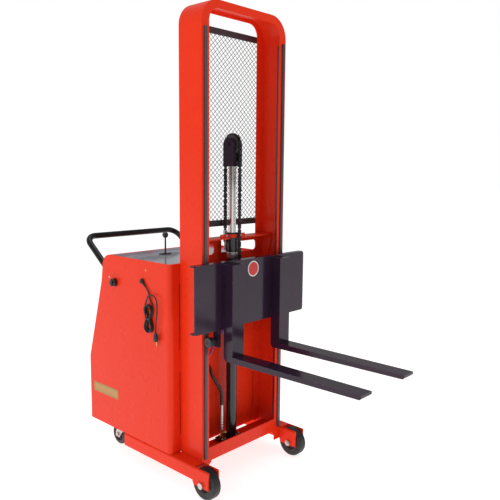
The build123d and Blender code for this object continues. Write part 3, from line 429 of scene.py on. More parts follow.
def hank_point(turns):
    """A point of the hank after that many turns, from the top of the leg nearer the forks."""
    outer, inner = HANK_RADIUS, HANK_RADIUS - CORD
    cells = (
        (LAYERS[0], outer), (LAYERS[0], inner), (LAYERS[1], inner), (LAYERS[1], outer), (LAYERS[2], outer),
    )
    changes = (0.86, 1.78, 2.70, 3.62)      # where the cord crosses into the next lay
    width = 0.08
    x, radius = cells[0]
    for change, (next_x, next_radius) in zip(changes, cells[1:]):
        part = min(1, max(0, (turns - change) / width + 0.5))
        ease = part * part * (3 - 2 * part)
        x += (next_x - x) * ease
        radius += (next_radius - radius) * ease
    loop = 2 * HANK_LEG + 2 * pi * HANK_RADIUS
    along = (turns % 1) * loop
    arc = pi * HANK_RADIUS
    leg_part = (along if along < HANK_LEG else along - HANK_LEG - arc) / HANK_LEG
    waist = HANK_PINCH / 2 * (1 - cos(2 * pi * leg_part))
    if along < HANK_LEG:
        return Vector((x, HANK_Y - radius + waist, HANK_MIDDLE + HANK_LEG / 2 - along))
    if along < HANK_LEG + arc:
        turn = (along - HANK_LEG) / HANK_RADIUS
        return Vector((x, HANK_Y - radius * cos(turn), HANK_MIDDLE - HANK_LEG / 2 - radius * sin(turn)))
    if along < 2 * HANK_LEG + arc:
        return Vector((x, HANK_Y + radius - waist, HANK_MIDDLE - HANK_LEG / 2 + along - HANK_LEG - arc))
    turn = (along - 2 * HANK_LEG - arc) / HANK_RADIUS
    return Vector((x, HANK_Y + radius * cos(turn), HANK_MIDDLE + HANK_LEG / 2 + radius * sin(turn)))


def cord_route():
    """The lead from the gland, the hank's turns, and the tail down to the plug."""
    tip = GLAND_PLACE + RELIEF_WAY * RELIEF_LENGTH
    lead = [
        tip,
        tip + RELIEF_WAY * 0.019,
        Vector((LEAD_X, CORD_FRONT + 0.349, 0.788)),
        Vector((LEAD_X, CORD_FRONT + 0.344, 0.767)),
        Vector((LAYERS[0], CORD_FRONT + 0.335, 0.752)),
        Vector((LAYERS[0], HANK_Y - HANK_RADIUS - 0.0005, 0.734)),
    ]
    last = 4.70
    count = 120
    coil = [hank_point(0.04 + (last - 0.04) * k / count) for k in range(count + 1)]
    tail = [
        Vector((TAIL_X, CORD_FRONT + 0.366, 0.741)),
        Vector((TAIL_X, CORD_FRONT + 0.357, 0.757)),
        Vector((TAIL_X, CORD_FRONT + 0.352, 0.772)),
        Vector((TAIL_X, CORD_FRONT + 0.341, 0.7856)),
        Vector((TAIL_X, CORD_FRONT + 0.321, 0.7922)),
        Vector((TAIL_X, CORD_FRONT + 0.3005, 0.7856)),
        Vector((TAIL_X, CORD_FRONT + 0.288, 0.768)),
        Vector((TAIL_X, CORD_FRONT + 0.287, 0.748)),
        Vector((TAIL_X, CORD_FRONT + 0.2875, 0.727)),
        Vector((TAIL_X, CORD_FRONT + 0.290, 0.704)),
        Vector((TAIL_X, CORD_FRONT + 0.2945, 0.682)),
        Vector((TAIL_X, CORD_FRONT + 0.298, 0.661)),
        Vector((TAIL_X, CORD_FRONT + 0.298, 0.6405)),
    ]
    return lead + coil + tail


def nurbs_curve(name, points, thickness):
    """A smooth round line with those control points."""
    data = bpy.data.curves.new(name, "CURVE")
    data.dimensions = "3D"
    data.bevel_depth = thickness / 2
    data.bevel_resolution = 5
    data.resolution_u = 6
    data.use_fill_caps = True
    line = data.splines.new("NURBS")
    line.points.add(len(points) - 1)
    for control, point in zip(line.points, points):
        control.co = (*point, 1)
    line.order_u = 3
    line.use_endpoint_u = True
    return bpy.data.objects.new(name, data)


def line_length(piece):
    """The length of a curve's own centreline."""
    bare = piece.data.copy()
    bare.bevel_depth = 0
    probe = bpy.data.objects.new("probe", bare)
    mesh = bpy.data.meshes.new_from_object(probe)
    spots = [vertex.co for vertex in mesh.vertices]
    length = sum((spots[edge.vertices[0]] - spots[edge.vertices[1]]).length for edge in mesh.edges)
    bpy.data.meshes.remove(mesh)
    bpy.data.objects.remove(probe)
    return length


def make_relief():
    """The gland's ribbed nut and its tapered strain relief."""
    nut_profile = [
        (0, 0.0), (0, 0.012), (0.003, 0.012), (0.004, 0.0105), (0.009, 0.0105), (0.012, 0.008), (0.013, 0.0),
    ]
    ribs = 7
    root, taper, groove = 0.0056, 0.0018, 0.0009
    end_radius = 0.0036

    def build(bm):
        add_lathe(bm, nut_profile, (BODY_SIDE, GLAND_PLACE.y, GLAND_PLACE.z), (-1, 0, 0), 28)
        profile = [(-0.004, 0.0), (-0.004, root)]
        for k in range(ribs):
            start = RELIEF_LENGTH * k / ribs
            wide = root - taper * k / ribs
            profile += [
                (start + 0.0008, wide), (start + 0.0028, wide - 0.0002), (start + 0.0032, wide - groove),
                (start + 0.0040, wide - groove),
            ]
        profile += [(RELIEF_LENGTH + 0.0005, end_radius), (RELIEF_LENGTH + 0.0005, 0.0)]
        add_lathe(bm, profile, GLAND_PLACE, RELIEF_WAY, 24)

    relief = place_piece("strain_relief", mesh_from("strain_relief", build), "chassis", "cord")
    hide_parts("cord_gland")
    return relief


def make_plug():
    """A moulded three-pin mains plug hanging from the tail."""
    low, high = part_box("mains_plug")
    y = (low.y + high.y) / 2
    top = high.z
    segments = 28
    flatness = 0.76             # thickness over width of the plug's body
    neck = 0.012                # the neck above this depth turns round
    body = [                    # depth below the top, half width
        (0.0, 0.0042), (0.001, 0.0044), (0.003, 0.0050), (0.004, 0.0046), (0.006, 0.0058),
        (0.007, 0.0054), (0.010, 0.0074), (0.014, 0.0095), (0.019, 0.0108), (0.026, 0.0116),
        (0.034, 0.0118), (0.038, 0.0114), (0.040, 0.0104),
    ]
    face = top - body[-1][0]
    blade_gap, blade_thickness, blade_width = 0.006, 0.0016, 0.0060
    earth_pin = [(0, 0.0), (0, 0.0024), (0.019, 0.0024), (0.0215, 0.0012), (0.0216, 0.0)]
    earth_offset = 0.005

    def build(bm):
        rings = []
        for depth, wide in body:
            flat = flatness if depth > neck else flatness + (1 - flatness) * (1 - depth / neck)
            turns = [2 * pi * k / segments for k in range(segments)]
            rings.append([
                bm.verts.new((TAIL_X + wide * flat * cos(t), y + wide * sin(t), top - depth)) for t in turns
            ])
        for here, there in zip(rings, rings[1:]):
            for k in range(segments):
                j = (k + 1) % segments
                bm.faces.new((here[k], here[j], there[j], there[k]))
        bm.faces.new(rings[0])
        bm.faces.new(rings[-1][::-1])
        outline = rounded_outline(blade_width, 2 * (face - low.z), 0.001, (TAIL_X, face))
        blade = [(u, max(v, low.z + 0.002)) for u, v in outline if v < face + 0.001]
        for side in (-1, 1):
            middle = y + side * blade_gap
            add_prism(bm, blade, on_xz, middle - blade_thickness / 2, middle + blade_thickness / 2, 1)
        add_lathe(bm, earth_pin, (TAIL_X + earth_offset, y, face), (0, 0, -1), 16, 1)

    plug = place_piece(
        "plug_body", mesh_from("plug_body", build), "chassis", ("plug", "brass"), sharp=50,
    )
    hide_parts("mains_plug")
    return plug


def make_hank_tie():
    """The strap round the middle of the hank."""
    height = 0.007
    thickness = 0.0012
    width = HANK_HIGH.y - HANK_LOW.y - 2 * HANK_PINCH + thickness
    depth = HANK_HIGH.x - HANK_LOW.x
    middle = (HANK_Y, (HANK_LOW.x + HANK_HIGH.x) / 2)
    outline = rounded_outline(width, depth, 0.0055, middle)
    inner = rounded_outline(width - 2 * thickness, depth - 2 * thickness, 0.0045, middle)

    def build(bm):
        around = []
        for z in (HANK_MIDDLE - height / 2, HANK_MIDDLE + height / 2):
            around.append([bm.verts.new((v, u, z)) for u, v in outline])
            around.append([bm.verts.new((v, u, z)) for u, v in inner])
        count = len(outline)
        for a, b in ((0, 2), (2, 3), (3, 1), (1, 0)):
            for k in range(count):
                j = (k + 1) % count
                bm.faces.new((around[a][k], around[a][j], around[b][j], around[b][k]))

    place_piece("hank_tie", mesh_from("hank_tie", build), "chassis", "plug")


def make_cord():
    """The lead with its tied hank, and what is on it."""
    cord = nurbs_curve("charger_cord", cord_route(), CORD)
    cord.data.materials.append(FINISH["cord"])
    bpy.context.scene.collection.objects.link(cord)
    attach(cord, "chassis")
    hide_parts("cord_lead", "cord_hank", "cord_tail")
    relief = make_relief()
    plug = make_plug()
    make_hank_tie()
    round(line_length(cord), 3)


make_cord()

# ---- CAD nodes that stay, with their finishes ------------

NODE_FINISH = {
    "red": (
        "base_rail_right", "base_rail_left", "front_cross_member", "floor_pan", "mast_frame",
        "cylinder_support", "cylinder_clamp", "body_shell", "rear_cover",
    ),
    "black": (
        "carriage_plate", "fork_right", "fork_left", "roller_bracket_right", "roller_bracket_left",
        "rod_yoke",
    ),
    "steel": ("roller_steels", "handle_sockets"),
    "hub": ("upper_roller_right", "upper_roller_left", "lower_roller_right", "lower_roller_left"),
    "zinc": ("front_axles", "caster_plates", "caster_fork_right", "caster_fork_left", "chain_stud"),
    "handle": ("push_handle",),
    "chrome": ("piston_rod",),
    "barrel": ("cylinder_barrel", "gland_cap"),
    "iron": ("chain_sheave",),
    "ball": ("lever_plate", "lift_lever", "key_switch"),
    "panel": ("top_panel",),
    "yellow": ("label_plate",),
    "cast": ("counterweight",),
    "battery": ("battery",),
    "alloy": ("power_unit",),
    "case": ("charger",),
    "hose": ("lift_hose",),
    "blue": ("return_tube",),
}
SOFT_EDGE = {                   # width of the rounding on a node's edges
    "base_rail_right": 0.0012, "base_rail_left": 0.0012, "front_cross_member": 0.0015,
    "mast_frame": 0.0014, "body_shell": 0.0010, "rear_cover": 0.0010, "cylinder_support": 0.0012,
    "cylinder_clamp": 0.001, "carriage_plate": 0.0014, "fork_right": 0.0020, "fork_left": 0.0020,
    "rod_yoke": 0.0015, "roller_bracket_right": 0.0012, "roller_bracket_left": 0.0012,
    "roller_steels": 0.0005, "front_axles": 0.0008, "caster_fork_right": 0.0008,
    "caster_fork_left": 0.0008, "chain_stud": 0.0006, "top_panel": 0.0008, "lever_plate": 0.0008,
    "key_switch": 0.0008, "label_plate": 0.0002, "counterweight": 0.003, "battery": 0.002,
    "power_unit": 0.002, "charger": 0.003,
}
HOSE_BRAID = 0.0022             # the braid stands this far out of the hose's solid


def finish_nodes():
    """Paints every CAD node that stays, rounds its edges, and swells the hose by its braid."""
    for finish, names in NODE_FINISH.items():
        for name in names:
            for material_slot in nodes[name].material_slots:
                material_slot.material = FINISH[finish]
            if name in SOFT_EDGE:
                soften(nodes[name], SOFT_EDGE[name])
    swell = nodes["lift_hose"].modifiers.new("braid", "DISPLACE")
    swell.strength = HOSE_BRAID
    swell.mid_level = 0


finish_nodes()

# ---- expanded metal screen -------------------------------

SCREEN_MARGIN = 0.024
SCREEN_SIDE_MARGIN = 0.010
DIAMOND_WIDTH, DIAMOND_HEIGHT = 0.024, 0.022
STRAND_WIDTH, STRAND_DEPTH = 0.0018, 0.0016


def make_screen():
    """A sheet of expanded metal: zigzag strands that meet at their bonds, with flat margins."""
    low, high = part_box("mast_screen")
    middle = (low.y + high.y) / 2
    mesh_low, mesh_high = low.z + SCREEN_MARGIN, high.z - SCREEN_MARGIN
    mesh_left, mesh_right = low.x + SCREEN_SIDE_MARGIN, high.x - SCREEN_SIDE_MARGIN
    columns = round((mesh_right - mesh_left) / DIAMOND_WIDTH)
    strands = 2 * round((mesh_high - mesh_low) / DIAMOND_HEIGHT)
    step_x = (mesh_right - mesh_left) / (2 * columns)
    step_z = (mesh_high - mesh_low) / strands
    section = [(y * STRAND_DEPTH / 2, z * STRAND_WIDTH / 2) for y, z in ((-1, -1), (1, -1), (1, 1), (-1, 1))]
    lap, side_lap = 0.002, 0.001        # the margins reach this far over the strands
    margins = (
        (low.x, high.x, low.z, mesh_low + lap), (low.x, high.x, mesh_high - lap, high.z),
        (low.x, mesh_left + side_lap, mesh_low, mesh_high),
        (mesh_right - side_lap, high.x, mesh_low, mesh_high),
    )

    def build(bm):
        for j in range(strands + 1):
            rows = []
            for k in range(2 * columns + 1):
                up = 1 if (j + k) % 2 else -1
                x = mesh_left + k * step_x
                z = min(mesh_high, max(mesh_low, mesh_low + j * step_z + up * step_z / 2))
                rows.append([bm.verts.new((x, middle + dy, z + dz)) for dy, dz in section])
            for here, there in zip(rows, rows[1:]):
                for i in range(4):
                    n = (i + 1) % 4
                    bm.faces.new((here[i], here[n], there[n], there[i]))
            bm.faces.new(rows[0])
            bm.faces.new(rows[-1][::-1])
        for left, right, bottom, top in margins:
            add_prism(
                bm, [(left, bottom), (right, bottom), (right, top), (left, top)], on_xz, low.y, high.y,
            )

    screen = place_piece("screen_mesh", mesh_from("screen_mesh", build), "chassis", "screen")
    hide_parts("mast_screen")


make_screen()

# ---- lift chain ------------------------------------------

CHAIN_PITCH = 0.0127
CHAIN_RADIUS = 0.042            # of the pins' path over the sheave
PLATE_HALF = 0.0048
PLATE_WAIST = 0.0034
CHAIN_HALF_WIDTH = 0.0069
ROLLER_HALF_WIDTH = 0.0053
PIN_RADIUS, ROLLER_RADIUS = 0.0021, 0.0030
OUTER_PLATES = ((CHAIN_HALF_WIDTH, 0.0054), (0.0022, 0.0004))
INNER_PLATES = ((0.0038, 0.0022),)


def link_outline(pitch):
    """A chain plate seen from the side: two round ends and a waist, as (along, across) points."""
    points = []
    for end in (1, -1):
        for k in range(-3, 4):
            turn = radians(32) * k
            along = pitch / 2 + PLATE_HALF * 0.98 * cos(turn)
            points.append((end * along, end * PLATE_HALF * sin(turn)))
        points.append((0, end * PLATE_WAIST))
    return points


def add_chain(bm, at, count):
    """Adds links along a path; at(distance in links) gives (point, direction, outward)."""
    pin = [
        (-CHAIN_HALF_WIDTH, 0), (-CHAIN_HALF_WIDTH, PIN_RADIUS), (-ROLLER_HALF_WIDTH, PIN_RADIUS),
        (-ROLLER_HALF_WIDTH, ROLLER_RADIUS), (ROLLER_HALF_WIDTH, ROLLER_RADIUS),
        (ROLLER_HALF_WIDTH, PIN_RADIUS), (CHAIN_HALF_WIDTH, PIN_RADIUS), (CHAIN_HALF_WIDTH, 0),
    ]
    for k in range(count):
        point, along, out = at(k + 0.5)
        first, last = at(k)[0], at(k + 1)[0]
        outline = link_outline((last - first).length)
        for outer, inner in INNER_PLATES if k % 2 else OUTER_PLATES:
            for side in (-1, 1):
                add_prism(
                    bm, outline,
                    lambda u, v, d: point + along * u + out * v + Vector((d, 0, 0)),
                    side * inner, side * outer,
                )
        add_lathe(bm, pin, first, (1, 0, 0), 10)


def make_chain_run(name, y):
    """A straight run down the height of its node's box, baked in place on no body."""
    low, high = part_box(f"chain_{name}")
    count = round((high.z - low.z) / CHAIN_PITCH)
    pitch = (high.z - low.z) / count

    def at(distance):
        return Vector((0, y, high.z - distance * pitch)), Vector((0, 0, -1)), Vector((0, 1, 0))

    mesh = mesh_from(f"chain_run_{name}", lambda bm: add_chain(bm, at, count))
    run = place_piece(f"chain_run_{name}", mesh, None, "chain", sharp=30)
    if name == "front":
        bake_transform(run)
    else:
        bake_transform(run)
    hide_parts(f"chain_{name}")


def make_chains():
    """The front run to the carriage, the rear run to the anchor stud, and the wrap over the sheave."""
    low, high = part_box("chain_wrap")
    centre = Vector((0, (low.y + high.y) / 2, low.z))
    make_chain_run("front", centre.y - CHAIN_RADIUS)
    make_chain_run("rear", centre.y + CHAIN_RADIUS)
    count = round(pi * CHAIN_RADIUS / CHAIN_PITCH)

    def over(distance):
        turn = pi * distance / count
        out = Vector((0, -cos(turn), sin(turn)))
        return centre + out * CHAIN_RADIUS, Vector((0, sin(turn), cos(turn))), out

    mesh = mesh_from("chain_over_sheave", lambda bm: add_chain(bm, over, count))
    wrap = place_piece("chain_over_sheave", mesh, "rod", "chain", sharp=30)
    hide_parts("chain_wrap")


make_chains()

# ---- wheels ----------------------------------------------

TYRE_SEAT = 0.039               # radius where the tyre sits on its hub
TYRE_SHOULDER = 0.0085
TYRE_GROOVES = (-0.009, 0, 0.009)
HUB_BORE = 0.00805
HUB_DISH = 0.0100               # depth of the hub's dish below the tyre's side
HUB_RIVETS, RIVET_CIRCLE = 5, 0.0235
RIVET = [(0, 0), (0, 0.0026), (0.0014, 0.0022), (0.0018, 0)]
CASTER_TREAD_HALF = 0.016
CASTER_SEAT = 0.034
CASTER_SHOULDER = 0.009
CASTER_BORE = 0.00605
CASTER_RIBS, RIB_CIRCLE = 6, 0.0215
CASTER_X = 0.205
PLATE_BOLTS = (0.0265, 0.0365)  # half spacing of the caster plate's bolts along X and Y


def make_tyre(side, centre, half, radius):
    """A solid rubber tyre with round shoulders, a ring on each side and three fine grooves."""
    ring = [(0, 0), (0, 0.006), (0.0012, 0.0075), (0.0012, 0.010), (0, 0.0115)]
    profile = [(-half + inward, TYRE_SEAT + up) for inward, up in ring]
    for k in range(7):
        turn = pi / 2 * k / 6
        inward = TYRE_SHOULDER * (1 - cos(turn))
        profile.append((-half + inward, radius - TYRE_SHOULDER + TYRE_SHOULDER * sin(turn)))
    for groove in TYRE_GROOVES:
        profile += [
            (groove - 0.0007, radius), (groove - 0.0004, radius - 0.0009),
            (groove + 0.0004, radius - 0.0009), (groove + 0.0007, radius),
        ]
    for k in range(7):
        turn = pi / 2 * (1 - k / 6)
        inward = TYRE_SHOULDER * (1 - cos(turn))
        profile.append((half - inward, radius - TYRE_SHOULDER + TYRE_SHOULDER * sin(turn)))
    profile += [(half - inward, TYRE_SEAT + up) for inward, up in reversed(ring)]
    mesh = mesh_from(f"tyre_{side}", lambda bm: add_lathe(bm, profile, centre, (1, 0, 0), 96))
    tyre = place_piece(f"tyre_{side}", mesh, f"front_wheel_{side}", "rubber")
    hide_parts(f"front_tyre_{side}")


def make_hub(side, centre, half):
    """A dished hub with a boss and rivets on both faces."""
    low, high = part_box(f"front_hub_{side}")
    reach = (high.x - low.x) / 2
    half_profile = [
        (reach, HUB_BORE), (reach, 0.0120), (reach - 0.001, 0.0135), (half - 0.006, 0.0150),
        (half - 0.0085, 0.0165), (half - HUB_DISH, 0.0200), (half - HUB_DISH, 0.0270),
        (half - 0.0080, 0.0300), (half - 0.0020, 0.0330), (half - 0.0008, 0.0345),
        (half - 0.0008, 0.0375), (half - 0.0020, TYRE_SEAT - 0.0001),
    ]
    profile = half_profile + [(-x, r) for x, r in reversed(half_profile)]

    def build(bm):
        add_lathe(bm, profile, centre, (1, 0, 0), 72)
        for face in (-1, 1):
            for k in range(HUB_RIVETS):
                turn = 2 * pi * k / HUB_RIVETS + 0.3
                offset = (face * (half - HUB_DISH), RIVET_CIRCLE * cos(turn), RIVET_CIRCLE * sin(turn))
                add_lathe(bm, RIVET, centre + Vector(offset), (face, 0, 0), 12, 1)

    mesh = mesh_from(f"hub_{side}", build)
    hub = place_piece(f"hub_{side}", mesh, f"front_wheel_{side}", ("hub", "zinc"))
    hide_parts(f"front_hub_{side}")


def make_front_wheels():
    """Both front wheels."""
    for side, _ in SIDES:
        low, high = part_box(f"front_tyre_{side}")
        centre = (low + high) / 2
        half = (high.x - low.x) / 2
        make_tyre(side, centre, half, (high.z - low.z) / 2)
        make_hub(side, centre, half)


def make_caster_wheel(side):
    """A caster wheel with a rounded tread, a ribbed web and a bearing boss."""
    low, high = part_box(f"caster_wheel_{side}")
    centre = (low + high) / 2
    radius = (high.z - low.z) / 2
    boss = (high.x - low.x) / 2
    half = CASTER_TREAD_HALF
    tread = [(-half, CASTER_SEAT)]
    for k in range(9):
        turn = pi / 2 * k / 8
        inward = CASTER_SHOULDER * (1 - cos(turn))
        tread.append((-half + inward, radius - CASTER_SHOULDER + CASTER_SHOULDER * sin(turn)))
    tread += [(-x, r) for x, r in reversed(tread)]
    mesh = mesh_from(f"caster_tread_{side}", lambda bm: add_lathe(bm, tread, centre, (1, 0, 0), 80))
    wheel = place_piece(f"caster_tread_{side}", mesh, f"caster_roller_{side}", "tread")
    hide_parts(f"caster_wheel_{side}")
    web = [
        (boss, CASTER_BORE), (boss, 0.0105), (boss - 0.0006, 0.0125), (half - 0.005, 0.0130),
        (half - 0.0065, 0.0150), (half - 0.0065, 0.0280), (half - 0.004, 0.0305),
        (half - 0.0006, 0.0315), (half - 0.0006, CASTER_SEAT),
    ]
    web += [(-x, r) for x, r in reversed(web)]
    rib = [(-0.007, -0.0012), (0.0085, -0.0010), (0.0085, 0.0010), (-0.007, 0.0012)]
    rib_height = 0.0035

    def build(bm):
        add_lathe(bm, web, centre, (1, 0, 0), 64)
        for face in (-1, 1):
            for k in range(CASTER_RIBS):
                turn = 2 * pi * k / CASTER_RIBS
                along = Vector((0, cos(turn), sin(turn)))
                across = Vector((0, -sin(turn), cos(turn)))
                spot = centre + Vector((face * (half - 0.0066), 0, 0)) + along * RIB_CIRCLE
                add_prism(
                    bm, rib, lambda u, v, d: spot + along * u + across * v + Vector((d, 0, 0)),
                    0, face * rib_height,
                )

    mesh = mesh_from(f"caster_web_{side}", build)
    place_piece(f"caster_web_{side}", mesh, f"caster_roller_{side}", "hub")


def make_casters():
    """Both casters' wheels, and the bolts of their plates."""
    plate_low, plate_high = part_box("caster_plates")
    plate_y = (plate_low.y + plate_high.y) / 2
    plate_thickness = 0.0052
    head_across, head_height = 0.013, 0.0055
    for side, sign in SIDES:
        make_caster_wheel(side)

        def bolts(bm):
            for dx in (-PLATE_BOLTS[0], PLATE_BOLTS[0]):
                for dy in (-PLATE_BOLTS[1], PLATE_BOLTS[1]):
                    spot = (sign * CASTER_X + dx, plate_y + dy, plate_high.z - plate_thickness)
                    add_hexagon(bm, spot, (0, 0, -1), head_across, head_height)

        mesh = mesh_from(f"caster_bolts_{side}", bolts)
        place_piece(f"caster_bolts_{side}", mesh, "chassis", "zinc", bevel=0.0005)


make_front_wheels()
make_casters()

# ---- hydraulics ------------------------------------------

BLOCK_TOP = 0.143               # top of the port block, where the barrel stands
PORT_X, PORT_Y = -0.056, 0.0345
CAP_SCREW = [
    (0, 0), (0, 0.0048), (0.0048, 0.0048), (0.0055, 0.004), (0.0055, 0.0025), (0.003, 0.0022), (0.003, 0),
]
FITTING = [
    (0.009, 0), (0.009, 0.0062), (0.013, 0.0062), (0.014, 0.0075), (0.022, 0.0075), (0.023, 0.006),
    (0.034, 0.0056), (0.034, 0),
]
SIDE_PORT = [(0, 0), (0, 0.0045), (0.020, 0.0045), (0.020, 0)]
SIDE_PORT_RISE = 0.018
CRIMP_START, CRIMP_FIRST, CRIMP_PITCH, CRIMP_RINGS = 0.034, 0.036, 0.0122, 9
CRIMP_RADIUS, CRIMP_GROOVE = 0.0074, 0.0069


def make_port_block():
    """A black steel block with cap screws, a brass elbow and the hose's crimped end."""
    low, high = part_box("port_block")
    x, y = (low.x + high.x) / 2, (low.y + high.y) / 2
    outline = rounded_outline(high.x - low.x, high.y - low.y, 0.002, (x, y))
    foot = (PORT_X, PORT_Y, BLOCK_TOP)
    branch_z = BLOCK_TOP + SIDE_PORT_RISE
    up, right = (0, 0, 1), (1, 0, 0)
    crimp = [(CRIMP_START, 0), (CRIMP_START, 0.0070)]
    for k in range(CRIMP_RINGS):
        start = CRIMP_FIRST + CRIMP_PITCH * k
        crimp += [
            (start, CRIMP_RADIUS), (start + 0.0085, CRIMP_RADIUS), (start + 0.0095, CRIMP_GROOVE),
            (start + 0.0110, CRIMP_GROOVE),
        ]
    crimp += [(high.z - BLOCK_TOP, 0.0072), (high.z - BLOCK_TOP, 0)]

    def build(bm):
        add_prism(bm, outline, lambda u, v, d: Vector((u, v, d)), low.z, BLOCK_TOP - 0.0002)
        for dx in (-0.038, 0.028, 0.044):
            for dy in (-0.019, 0.019):
                add_lathe(bm, CAP_SCREW, (x + dx, y + dy, BLOCK_TOP - 0.0003), up, 20, 1)
        add_hexagon(bm, foot, up, 0.0155, 0.009, 2)
        add_lathe(bm, FITTING, foot, up, 28, 2)
        add_hexagon(bm, (PORT_X + 0.007, PORT_Y, branch_z), right, 0.012, 0.010, 2)
        add_lathe(bm, SIDE_PORT, (PORT_X, PORT_Y, branch_z), right, 20, 2)
        add_lathe(bm, crimp, foot, up, 28, 1)

    fittings = place_piece(
        "port_fittings", mesh_from("port_fittings", build), "chassis", ("barrel", "zinc", "brass"),
        bevel=0.0004,
    )
    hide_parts("port_block")


COLLAR_HEIGHT = 0.029
COLLAR = [(0, 0.0255), (0, 0.0263), (0.003, 0.0266), (0.025, 0.0266), (0.0285, 0.0262), (0.0285, 0.0255)]
WIPER = [(0, 0.0164), (0, 0.0235), (0.0022, 0.0235), (0.0032, 0.0222), (0.0034, 0.0170), (0.0026, 0.0164)]
FLUTES = 16
FLUTE = [(-0.0022, 0), (-0.0014, 0.0013), (0.0014, 0.0013), (0.0022, 0)]
FLUTE_SINK = 0.0006


def make_cylinder_trim():
    """The zinc ring under the gland cap, the wiper lip, the cap's flutes and the clamp's bolts."""
    cap_low, cap_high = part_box("gland_cap")
    clamp_low, clamp_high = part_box("cylinder_clamp")
    centre = (cap_low + cap_high) / 2
    cap_radius = (cap_high.x - cap_low.x) / 2
    up = (0, 0, 1)

    def collar(bm):
        add_lathe(bm, COLLAR, (centre.x, centre.y, cap_low.z - COLLAR_HEIGHT), up, 56)

    def wiper(bm):
        add_lathe(bm, WIPER, (centre.x, centre.y, cap_high.z), up, 48)

    def flutes(bm):
        for k in range(FLUTES):
            turn = 2 * pi * (k + 0.5) / FLUTES
            out = Vector((cos(turn), sin(turn), 0))
            across = Vector((-sin(turn), cos(turn), 0))
            base = Vector((centre.x, centre.y, 0)) + out * (cap_radius - FLUTE_SINK)
            add_prism(
                bm, FLUTE, lambda u, v, d: base + across * u + out * v + Vector((0, 0, d)),
                cap_high.z - 0.022, cap_high.z - 0.003,
            )

    def bolts(bm):
        for sign in (-1, 1):
            spot = Vector((
                sign * (cap_radius + 0.0125), clamp_low.y + 0.0268, (clamp_low.z + clamp_high.z) / 2,
            ))
            add_hexagon(bm, spot, (0, -1, 0), 0.010, 0.0045)

    place_piece("collar_ring", mesh_from("collar_ring", collar), "chassis", "zinc")
    place_piece("rod_wiper", mesh_from("rod_wiper", wiper), "chassis", "hose")
    place_piece("cap_flutes", mesh_from("cap_flutes", flutes), "chassis", "barrel")
    place_piece("clamp_bolts", mesh_from("clamp_bolts", bolts), "chassis", "zinc", bevel=0.0005)


make_port_block()
make_cylinder_trim()

# ---- small trim ------------------------------------------

DISC_FIELD = 0.86               # radius of the disc's red field, over its whole radius
LABEL_INSET, LABEL_LINE = 0.004, 0.0012
SIDE_SCREWS = ((0.152, 0.887), (0.413, 0.827))      # distance behind the body's front, and height
REAR_SCREW_X = 0.272
REAR_SCREW_HEIGHTS = (0.165, 0.400)
SWITCH_FACE = -0.3179
BEZEL = [(0, 0.0135), (0, 0.0162), (0.0010, 0.0166), (0.0022, 0.0160), (0.0024, 0.0148), (0.0012, 0.0135)]


def make_disc():
    """A bare round sign on the carriage: a red field in a white rim."""
    low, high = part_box("carriage_disc")
    radius = (high.x - low.x) / 2
    field = radius * DISC_FIELD
    back = ((low.x + high.x) / 2, high.y, (low.z + high.z) / 2)
    rim_profile = [
        (0, 0), (0, radius), (0.0005, radius), (0.0006, radius - 0.0004), (0.0006, field),
        (0.0004, field), (0.0004, 0),
    ]
    field_profile = [
        (0.0003, 0), (0.0003, field), (0.00065, field), (0.0007, radius * (DISC_FIELD - 0.01)), (0.0007, 0),
    ]

    def build(bm):
        add_lathe(bm, rim_profile, back, (0, -1, 0), 72, 1)
        add_lathe(bm, field_profile, back, (0, -1, 0), 72, 0)

    sign = place_piece(
        "round_sign", mesh_from("round_sign", build), "carriage", ("red_film", "white_film"),
    )
    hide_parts("carriage_disc")


def make_label_lines():
    """A thin dark border on the bare label."""
    low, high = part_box("label_plate")
    y0, y1 = low.y + LABEL_INSET, high.y - LABEL_INSET
    z0, z1 = low.z + LABEL_INSET, high.z - LABEL_INSET
    bars = (
        (y0, y1, z0, z0 + LABEL_LINE), (y0, y1, z1 - LABEL_LINE, z1),
        (y0, y0 + LABEL_LINE, z0, z1), (y1 - LABEL_LINE, y1, z0, z1),
    )

    def build(bm):
        for a, b, c, d in bars:
            add_prism(bm, [(a, c), (b, c), (b, d), (a, d)], on_yz, low.x - 0.00015, low.x + 0.0004)

    place_piece("label_border", mesh_from("label_border", build), "chassis", "label_line")


def add_screw(bm, spot, out, size, material=0):
    """Adds a screw of that head radius: a low dome with a round recess."""
    dome = [pi / 2 * k / 5 for k in range(5)]
    profile = [(-0.0005, 0), (-0.0005, size)]
    profile += [(size * 0.5 * sin(turn), size * cos(turn) * 0.985) for turn in dome]
    profile += [(size * 0.5, size * 0.30), (size * 0.30, size * 0.24), (size * 0.28, 0)]
    add_lathe(bm, profile, spot, out, 24, material)


def make_cover_screws():
    """Screws of the side covers and the rear cover."""
    shell_low, shell_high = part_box("body_shell")
    cover_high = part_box("rear_cover")[1]
    signs = [sign for _, sign in SIDES]

    def flanks(bm):
        for sign in signs:
            for k, (behind, z) in enumerate(SIDE_SCREWS):
                spot = (sign * shell_high.x, shell_low.y + behind, z)
                add_screw(bm, spot, (sign, 0, 0), 0.0054, k)

    def rear(bm):
        for sign in signs:
            for z in REAR_SCREW_HEIGHTS:
                add_screw(bm, (sign * REAR_SCREW_X, cover_high.y, z), (0, 1, 0), 0.0048)

    screws = place_piece(
        "side_screws", mesh_from("side_screws", flanks), "chassis", ("brass", "zinc"),
    )
    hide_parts("cover_screws")
    place_piece("rear_screws", mesh_from("rear_screws", rear), "chassis", "zinc")


def make_bezel():
    """The raised ring round the key switch's face."""
    low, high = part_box("key_switch")
    centre = (low + high) / 2

    def build(bm):
        add_lathe(bm, BEZEL, (SWITCH_FACE, centre.y, centre.z), (-1, 0, 0), 48)

    place_piece("switch_bezel", mesh_from("switch_bezel", build), "switch", "ball")


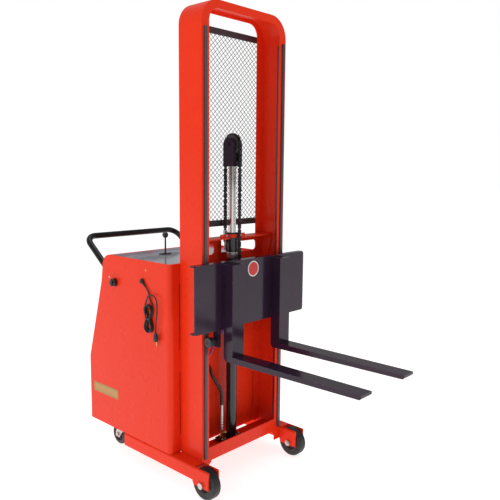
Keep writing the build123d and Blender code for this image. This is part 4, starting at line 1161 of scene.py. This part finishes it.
def add_bead(bm, start, end, size, ripple=0.0022):
    """Adds a rippled weld bead between two points."""
    start, end = Vector(start), Vector(end)
    along = (end - start).normalized()
    side = along.orthogonal().normalized()
    other = along.cross(side)
    length = (end - start).length
    steps = max(4, int(length / ripple * 2))
    corners = 8
    around = [2 * pi * i / corners for i in range(corners)]
    rings = []
    for k in range(steps + 1):
        taper = min(1, 0.35 + 4 * min(k, steps - k) / steps)
        swell = size * taper * (1 + 0.14 * (1 if k % 2 else -1))
        spot = start + along * (length * k / steps)
        rings.append([bm.verts.new(spot + (side * cos(t) + other * sin(t)) * swell) for t in around])
    for here, there in zip(rings, rings[1:]):
        for i in range(corners):
            j = (i + 1) % corners
            bm.faces.new((here[i], here[j], there[j], there[i]))
    bm.faces.new(rings[0])
    bm.faces.new(rings[-1][::-1])


def make_welds():
    """Weld beads at the forks' shanks, the columns' feet and the cylinder's support."""
    plate_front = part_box("carriage_plate")[0].y
    mast_low, mast_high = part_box("mast_frame")
    rail_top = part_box("base_rail_left")[1].z
    support_low, support_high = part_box("cylinder_support")
    shank_weld_low = 0.690
    signs = [sign for _, sign in SIDES]

    def carriage(bm):
        for name in ("fork_right", "fork_left"):
            low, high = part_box(name)
            for x in (low.x, high.x):
                add_bead(bm, (x, plate_front, shank_weld_low), (x, plate_front, high.z - 0.006), 0.0026)
            y = plate_front - 0.0002
            add_bead(bm, (low.x, y, high.z), (high.x, y, high.z), 0.0024)

    def chassis(bm):
        for sign in signs:
            x = sign * mast_high.x
            add_bead(bm, (x, mast_low.y + 0.004, rail_top), (x, mast_high.y - 0.004, rail_top), 0.003)
            web = sign * (mast_high.x - 0.0045)
            for y, z in ((support_low.y + 0.006, support_high.z), (support_high.y - 0.040, support_low.z)):
                add_bead(bm, (web, y, z), (web, support_high.y - 0.004, z), 0.0022)

    mesh = mesh_from("carriage_welds", carriage)
    place_piece("carriage_welds", mesh, "carriage", "handle", sharp=60)
    mesh = mesh_from("chassis_welds", chassis)
    place_piece("chassis_welds", mesh, "chassis", "red", sharp=60)


make_disc()
make_label_lines()
make_cover_screws()
make_bezel()
make_welds()
